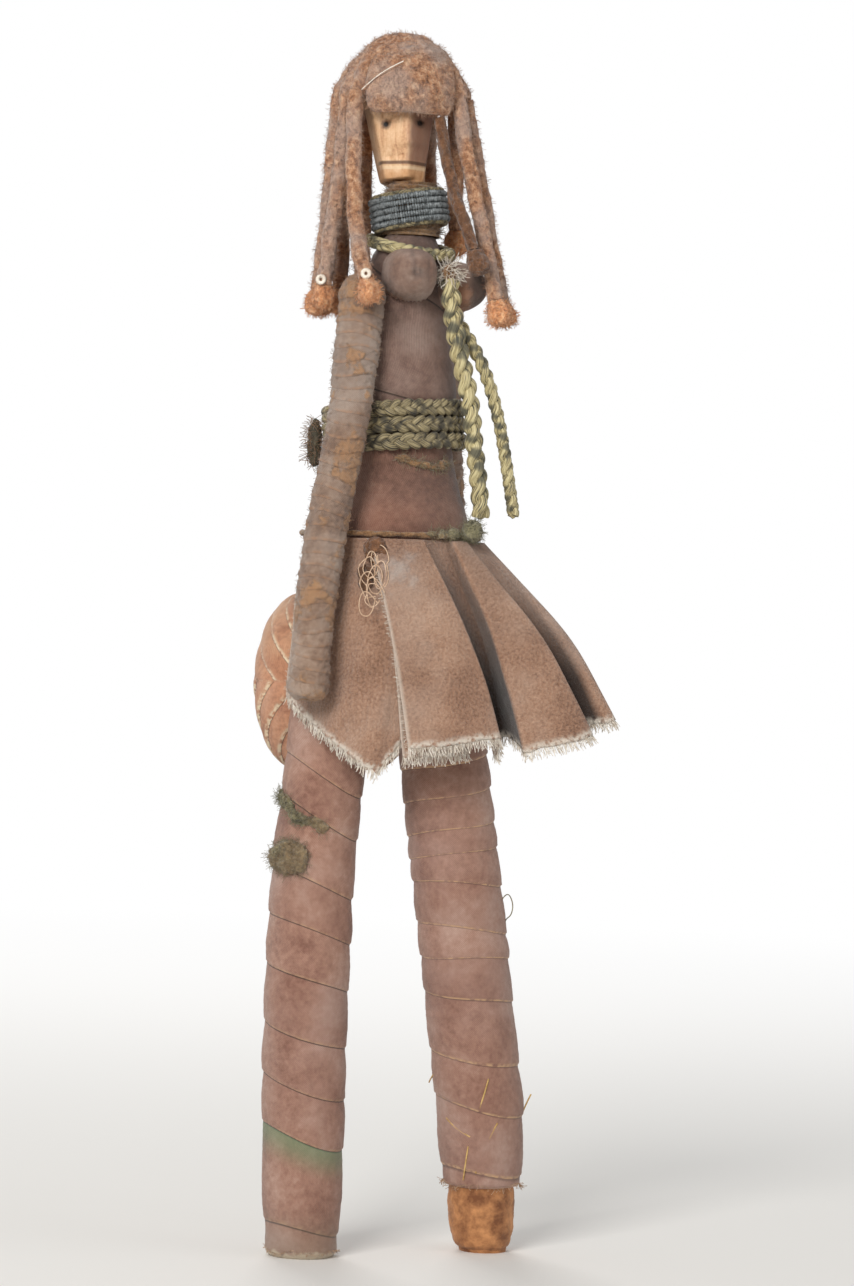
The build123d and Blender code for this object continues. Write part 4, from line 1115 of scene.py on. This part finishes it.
def hair():
    locks, tufts = [], []
    for number, route in enumerate(LOCKS, 1):
        # the lock in shadow behind the cheek and its tuft take the darker wool as painted shade
        dark = number == SHADED_LOCK
        wide, finish, tip = (0.76, DARK_AND_SHADED_WOOL, DARK_AND_SHADED_WOOL) if dark else (1, WOOL, TUFT_WOOL)
        bare = curve([[polar(*row, middle=HAIR) for row in route]])
        path = line_of(bare)
        lock = made(f"hair_lock_{number:02d}", CORD, bare, "hair", f"lock_{number:02d}",
                    Radius=LOCK_WIDE / 2 * wide * MM, Twist=0.011 + number * 0.0004, Lump=0.00042, Grain=640.0,
                    Shift=number * 0.031, Finish=finish)
        way = (path[-1] - path[-2]).normalized()
        tuft = tassel(f"hair_tuft_{number:02d}", path[-1], way, number, tip, f"tuft_{number:02d}")
        hanging(LOCK_WIDE)
        if not dark:
            locks.append(lock)
            tufts.append(tuft)
    for name, node, route, wide in (("braid_front", "braid_near", BRAID_NEAR, 5.4),
                                    ("braid_side", "braid_far", BRAID_FAR, 4.0)):
        bare = curve([[polar(*row) for row in route]])
        path = line_of(bare)
        braid = made(name, PLAIT, bare, "straw_plait", node, Wide=wide * 0.24 * MM, Deep=wide * 0.15 * MM,
                     Strand=wide * 0.245 * MM, Pitch=wide * 2.45 * MM, Middle=tuple(AXIS), Finish=STRAW)
        hanging(wide)

    form = shaped(turned(CROWN, HAIR, 220, 0.36, strands))
    cap = made("hair_cap", MAT, form, "hair", "crown_pad", Lump=0.0007, Grain=620.0, Swell=0.0010, Finish=WOOL)
    rows, lay, angles = [], [], np.linspace(0, 2 * pi, 61)
    for turn in np.linspace(-82, 22, 130):
        end = min(turn + 82, 22 - turn) / 13
        size = np.sqrt(max(1 - max(1 - end, 0) ** 2, 0.02))
        lifts = [7.2 * size * sin(a) for a in angles]
        rows.append([polar(turn, 13.2 + 2.5 * size * cos(a) - 0.1 * lift, 286.2 + lift, HAIR)
                     for a, lift in zip(angles, lifts)])
        lay.append([(radians(turn) * 15 * MM, a * 0.005) for a in angles])
    form = shaped(shell(rows, "middle", lay))
    band = made("fringe_band", MAT, form, "hair", "fringe_pad", Lump=0.0004, Grain=620.0, Swell=0.0004, Finish=WOOL)
    for name, pieces, density in (("lock_fuzz_1", locks[:3], 2.8e6), ("lock_fuzz_2", locks[3:7], 2.2e6),
                                  ("lock_fuzz_3", locks[7:], 1.6e6), ("cap_fuzz", [cap], 2.1e6),
                                  ("fringe_fuzz", [band], 4e6)):
        fuzz(name, pieces, "hair", WOOL, density, 1.0, 0.045, 0.9, 4, 0.4, 0.5)
    fuzz("tuft_fuzz", tufts, "hair_tuft", TUFT_WOOL, 3.4e6, 1.2, 0.06, 0.8, 5, 0.2)
    beads = [ring_bead("lock_bead_1", polar(-107.5, 19.8, 238.2, HAIR), -52),
             ring_bead("lock_bead_2", polar(-56.6, 26.9, 238.5, HAIR), -57)]
    WHITE_BEAD.put_on(*beads)
    told(beads[0], "white_bead", "lock_beads")
    told(beads[1], "white_bead")
    threads("hair_thread", [[polar(*row, HAIR) for row in HAIR_THREAD]], 0.13, WHITE_THREAD, "hair")


def limbs():
    for name, node, rows, seams, lean, foot, lift, crease, finish in (
            ("near_leg_wrap", "right_leg_wrap", RIGHT_LEG, RIGHT_SEAMS, RIGHT_LEAN, 2.2, 0.00035, 0.00012, NEAR_LEG),
            ("far_leg_wrap", "left_leg_wrap", LEFT_LEG, LEFT_SEAMS, LEFT_LEAN, 1.2, 0.0004, 0.00014, FAR_LEG)):
        form = sleeve(rows, slanted(seams, lean), 104, 0.36, foot)
        grounded(made(name, WIND, form, "leg_cloth", node, Lift=lift, Swell=0.0003, Ripple=0.0009, Crease=crease,
                      Finish=finish))
    for side, rows in (("right", RIGHT_ARM), ("left", LEFT_ARM)):
        body = f"{side}_arm"
        piece = made(f"{side}_arm_winding", WIND, sleeve(rows, helix(3.1, 0.16), 90, 0.3, 3.2, 5.2), "arm_cloth",
                     f"{side}_arm_wrap", body, Lift=0.00032, Swell=0.0001, Ripple=0.0010, Crease=0.0005, Grain=190.0,
                     Finish=ARM)
        fuzz(f"{side}_arm_fuzz", [piece], "arm_cloth", ARM, 8e5, 0.8, 0.05, 0.9, 6, bend=0.6, body=body)
    turns = np.linspace(-180, 180, 91)
    for name, rows, z, drop, long in (("near_leg_fray", RIGHT_LEG, 1.6, -0.25, 1.0),
                                      ("far_leg_fray", LEFT_LEG, 17.2, -1.2, 1.5)):
        x, y, radius = flow(rows, [z])[0][:3]
        edge = [polar(turn, radius + 0.15, z + 0.5 * sin(turn * 0.09), (x, y)) for turn in turns]
        outs = [(facing(turn) + Vector((0, 0, drop))).normalized() for turn in turns]
        made(name, FRAY, edge_line(edge, outs), "leg_cloth", Spacing=0.0003, Length=long * MM, Thick=0.00007, Wild=0.6,
             Seed=31, Bend=0.5, Finish=TAN_THREAD)
    for name in ("trunk_core", "shoulder_cord", "right_arm_core", "left_arm_core", "right_leg_core"):
        CORE_WOOD.put_on(NODES[name])
    RAG.put_on(NODES["left_leg_core"])
    form = shaped(sleeve(STUMP, slanted([-9, 4.5, 9.5, 30], [(0, -0.2), (20, -0.1)]), 100, 0.3))
    grounded(made("stump_rag", MAT, form, "core_rag", Grain=420.0, Swell=0.0006, Finish=RAG))
    lines = [[on_limb(LEFT_LEG, *row) for row in bit] for bit in [*STRAW_BITS, GREEN_LOOP]]
    threads("straw_bits", lines[:-1], 0.2, DRY_STRAW, "straw_plait")
    threads("green_thread", lines[-1:], 0.14, GREEN, "green_yarn")


def pucker(x, z, out):
    """A breast's creases: two folds on top, and gathers below."""
    fold = 0.4 * np.exp(-((x + 0.6) / 0.7) ** 2) + 0.25 * np.exp(-((x - 3.2) / 0.6) ** 2)
    high = np.clip((z + 6) / 7, 0, 1)
    gather = 0.28 * cos(x * 6.2) * np.clip((-z - 2.4) / 3, 0, 1) * np.clip((19 - out) / 6, 0, 1)
    square = 1 + 0.035 * cos(4 * np.arctan2(z, x + 1e-6) + pi)
    return x * square, z * square - gather, -fold * high


def trunk():
    made("chest_cloth", WIND, sleeve(CHEST, helix(26, 0.02), 150, 0.4), "trunk_cloth", "chest_wrap", Ripple=0.0005,
         Finish=TRUNK)
    rows = [(z, 0, 0, wide, deep) for z, wide, deep in HIP]
    made("hip_cloth", WIND, sleeve(rows, helix(600, 0), 150, 0.4), "trunk_cloth", "hip_wrap", Lift=0.0, Swell=0.0,
         Ripple=0.0006, Finish=HIP_CLOTH)
    for side, turn, z in (("right", RIGHT_BREAST, 239.8), ("left", LEFT_BREAST, 238.0)):
        form = pad_along(place(0, 0, z), facing(turn).normalized(), BREAST, pucker)
        piece = made(f"{side}_breast", MAT, form, "pad_cloth", f"breast_{side}", Lump=0.00007, Grain=700.0,
                     Swell=0.0003, Finish=PAD)
    for side, sign in (("right", -1), ("left", 1)):
        rows = [(SEAT_HIGH + 21.2 * sin(a), sign * 11.7, 17.6, max(11.2 * cos(a), 0.4))
                for a in np.linspace(-1.5, 1.5, 25)]
        piece = made(f"{side}_buttock", WIND, shaped(sleeve(rows, crossed(sign), 110, 0.4)), "pad_cloth",
                     f"buttock_{side}", Lift=0.0007, Swell=0.0004, Ripple=0.0006, Finish=SEAT)


def middle_of(node):
    low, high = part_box(node)
    return (low + high) / 2


def neck_and_belt():
    neck = tuple(place(*NECK, 0))
    form = sleeve([(249.8, *NECK, 6.5), (257.4, *NECK, 6.5), (262.7, *NECK, 5.2)], helix(1.15, 0.1), 90, 0.2)
    piece = made("neck_fibres", WIND, form, "neck_fibre", "neck_wrap", Swell=0.0004, Ripple=0.0006, Grain=200.0,
                 Finish=FIBRE)
    fuzz("neck_fuzz", [piece], "neck_fibre", FIBRE, 3e6, 1.4, 0.05, 1.2, 8)
    lean = tilted(NECK, 252.4, VIEW_RIGHT, 10)
    piece = made("bead_collar", BEADS, ring(9.1), "collar_bead", "collar_beads", Count=92, Reach=0.0091, Bead=0.00076,
                 Finish=DARK_BEAD)
    piece.data.transform(lean @ Matrix.Translation((0, 0, 0.00075)))
    for number, height, node in ((1, 0.1, "collar_band"), (2, 7.4, None)):
        made(f"collar_edge_{number}", PLAIT, ring(8.45, height, lean), "olive_plait", node, Wide=0.0005, Deep=0.0003,
             Strand=0.0005, Pitch=0.00334, Middle=neck, Step=0.0003, Finish=OLIVE)
    made("neck_plait", PLAIT, ring(10, 0, tilted(NECK, 247.2, 180, 13)), "straw_plait", "neck_cord", Wide=0.0008,
         Deep=0.0005, Pitch=0.0628 / 9, Middle=neck, Finish=STRAW)
    knot = lump("neck_tie", middle_of("neck_knot"), (1.7, 1.7, 1.9), FIBRE, 0.0006, "neck_fibre", "neck_knot")
    fuzz("neck_tie_ends", [knot], "neck_fibre", WHITE_THREAD, 4e6, 3.0, 0.08, 0.9, 9, bend=0.5)

    waist = tilted((0, 0), BELT_HIGH, VIEW_RIGHT, 4.5)
    for number, height, node in ((1, -4, None), (2, 0, "belt"), (3, 4, None)):
        pitch = 2 * pi * BELT_REACH * MM / (10 + number)
        made(f"belt_plait_{number}", PLAIT, ring(BELT_REACH, height, waist), "olive_plait", node, Wide=0.0012,
             Deep=0.00055, Strand=0.00098, Pitch=pitch, Middle=tuple(AXIS), Uneven=0.0009, Finish=OLIVE)
    knot = lump("belt_tie", middle_of("belt_knot"), (1.7, 1.8, 5.8), OLIVE, 0.0012, "olive_plait", "belt_knot")
    fuzz("belt_tie_ends", [knot], "neck_fibre", FIBRE, 3e6, 2.2, 0.07, 0.9, 12, bend=0.5)


def front_hem(x, y):
    """The height of the hem above a point on the floor plan."""
    return 127.5 + 0.168 * x - np.interp(np.degrees(np.arctan2(x, -y)), *np.array(FRONT_DROP).T)


def side_hem(x, y):
    return max(119.5 + 0.62 * (y + 19), 119.4 + 1.4 * (VIEW_SIDE[0] * x + VIEW_SIDE[1] * y + 0.6))


def under_hem(x, y):
    return 124.4 + 0.1 * x


def skirt():
    for name, panel, hem_at, columns, seed, node in (
            ("skirt_front_cloth", FRONT_PANEL, front_hem, 360, 3, "skirt_front"),
            ("skirt_side_cloth", SIDE_PANEL, side_hem, 150, 5, "skirt_side"),
            ("skirt_under_cloth", UNDER_PANEL, under_hem, 100, 8, "skirt_front")):
        piece, grid, flat, area = skirt_part(name, panel, hem_at, columns, seed)
        fringes = [made(f"{name}_fringe", FRAY, edge_line(grid[-1], outward(grid[-1] - grid[-4])), "skirt_cloth",
                        Spacing=0.00013, Length=0.0025, Thick=0.0001, Wild=0.28, Seed=seed, Finish=WHITE_THREAD)]
        if panel is not UNDER_PANEL:
            edge = edge_line(grid[:, 0], outward(grid[:, 0] - grid[:, 3]))
            fringes.append(made(f"{name}_selvedge", FRAY, edge, "skirt_cloth", Length=0.0011, Thick=0.00006, Wild=0.6,
                                Seed=seed, Finish=WHITE_THREAD))
        smooth(shaped(piece, 0, 0.0007))
        SKIRT.put_on(piece)
        told(piece, "skirt_cloth", node)
    made("waist_cord", CORD, ring(21.6, 0, tilted((0, 0), 176.4, 0, 0)), "green_yarn", "skirt_cord", Radius=0.0007,
         Plies=2, Twist=0.0045, Grain=900.0, Finish=FIBRE)


def small_wool():
    """Loose lumps of yarn at the waist, under the belt and on the right thigh, and threads on the skirt."""
    woolly = [("waist_knot", middle_of("skirt_knot"), (2.3, 2.3, 2.4), GREEN, 0.0009, "skirt_knot", 0)]
    for number, (turn, size) in enumerate(((1, 1.5), (-7, 1.1), (17, 1.6), (25, 1.0), (-15, 0.9)), 1):
        half = (size * 1.5, size, size)
        woolly.append((f"waist_wool_{number}", polar(turn, 22.6, 176.9), half, GREEN, 0.0008, None, 0))
    middle = on_limb(RIGHT_LEG, -78, 97.6, 0.6)
    woolly.append(("thigh_wool", middle, (5.4, 2.2, 4.2), GREEN, 0.0016, "thigh_yarn", -78))
    for number, turn in enumerate(range(-126, -34, 9)):
        spot = on_limb(RIGHT_LEG, turn, 112.4 - 0.088 * (turn + 126) + 0.7 * sin(turn * 0.11), 0.2)
        half = (1.8, 0.9, 1.5 + 0.3 * cos(number * 2))
        woolly.append((f"thigh_strand_{number + 1}", spot, half, GREEN, 0.0009, None, turn))
    for number, (turn, z) in enumerate(((-33, 195), (-22, 194.2), (-10, 193.6), (2, 193.4), (12, 194.2)), 1):
        woolly.append((f"belt_wool_{number}", polar(turn, 15.5, z), (2.1, 0.5, 0.9), FIBRE, 0.0008, None, turn))
    pieces = [lump(name, spot, half, finish, rough, "green_yarn", node, turn)
              for name, spot, half, finish, rough, node, turn in woolly]
    lump("thread_tangle_1", polar(-50, 23.7, 172.4), (2.9, 0.9, 3.4), DARK_AND_SHADED_WOOL, 0.0012, "skirt_cloth", None, -50)
    lump("thread_tangle_2", polar(-55, 24.2, 165.6), (1.9, 0.7, 3.2), DARK_AND_SHADED_WOOL, 0.0010, "skirt_cloth", None, -55)
    fuzz("wool_fuzz", pieces, "green_yarn", GREEN, 3.4e6, 1.6, 0.05, 1.0, 14, bend=0.6)

    loops, rng = [], np.random.default_rng(21)
    for number in range(9):
        turn, z, reach = -50 + rng.uniform(-3, 5), 170 - number * 1.3, 24.2
        line = []
        for a in np.linspace(0, 2 * pi * rng.uniform(0.7, 1.2), 9):
            wide, tall = rng.uniform(3, 6), rng.uniform(2.5, 4.5)
            line.append(polar(turn + wide * cos(a), reach + number * 0.28 + rng.uniform(0.3, 1.1), z + tall * sin(a)))
        loops.append(line)
    threads("loose_threads", loops, 0.12, LOOP_THREAD, "skirt_cloth")


set_camera()
set_light()
head()
hair()
limbs()
trunk()
neck_and_belt()
skirt()
small_wool()
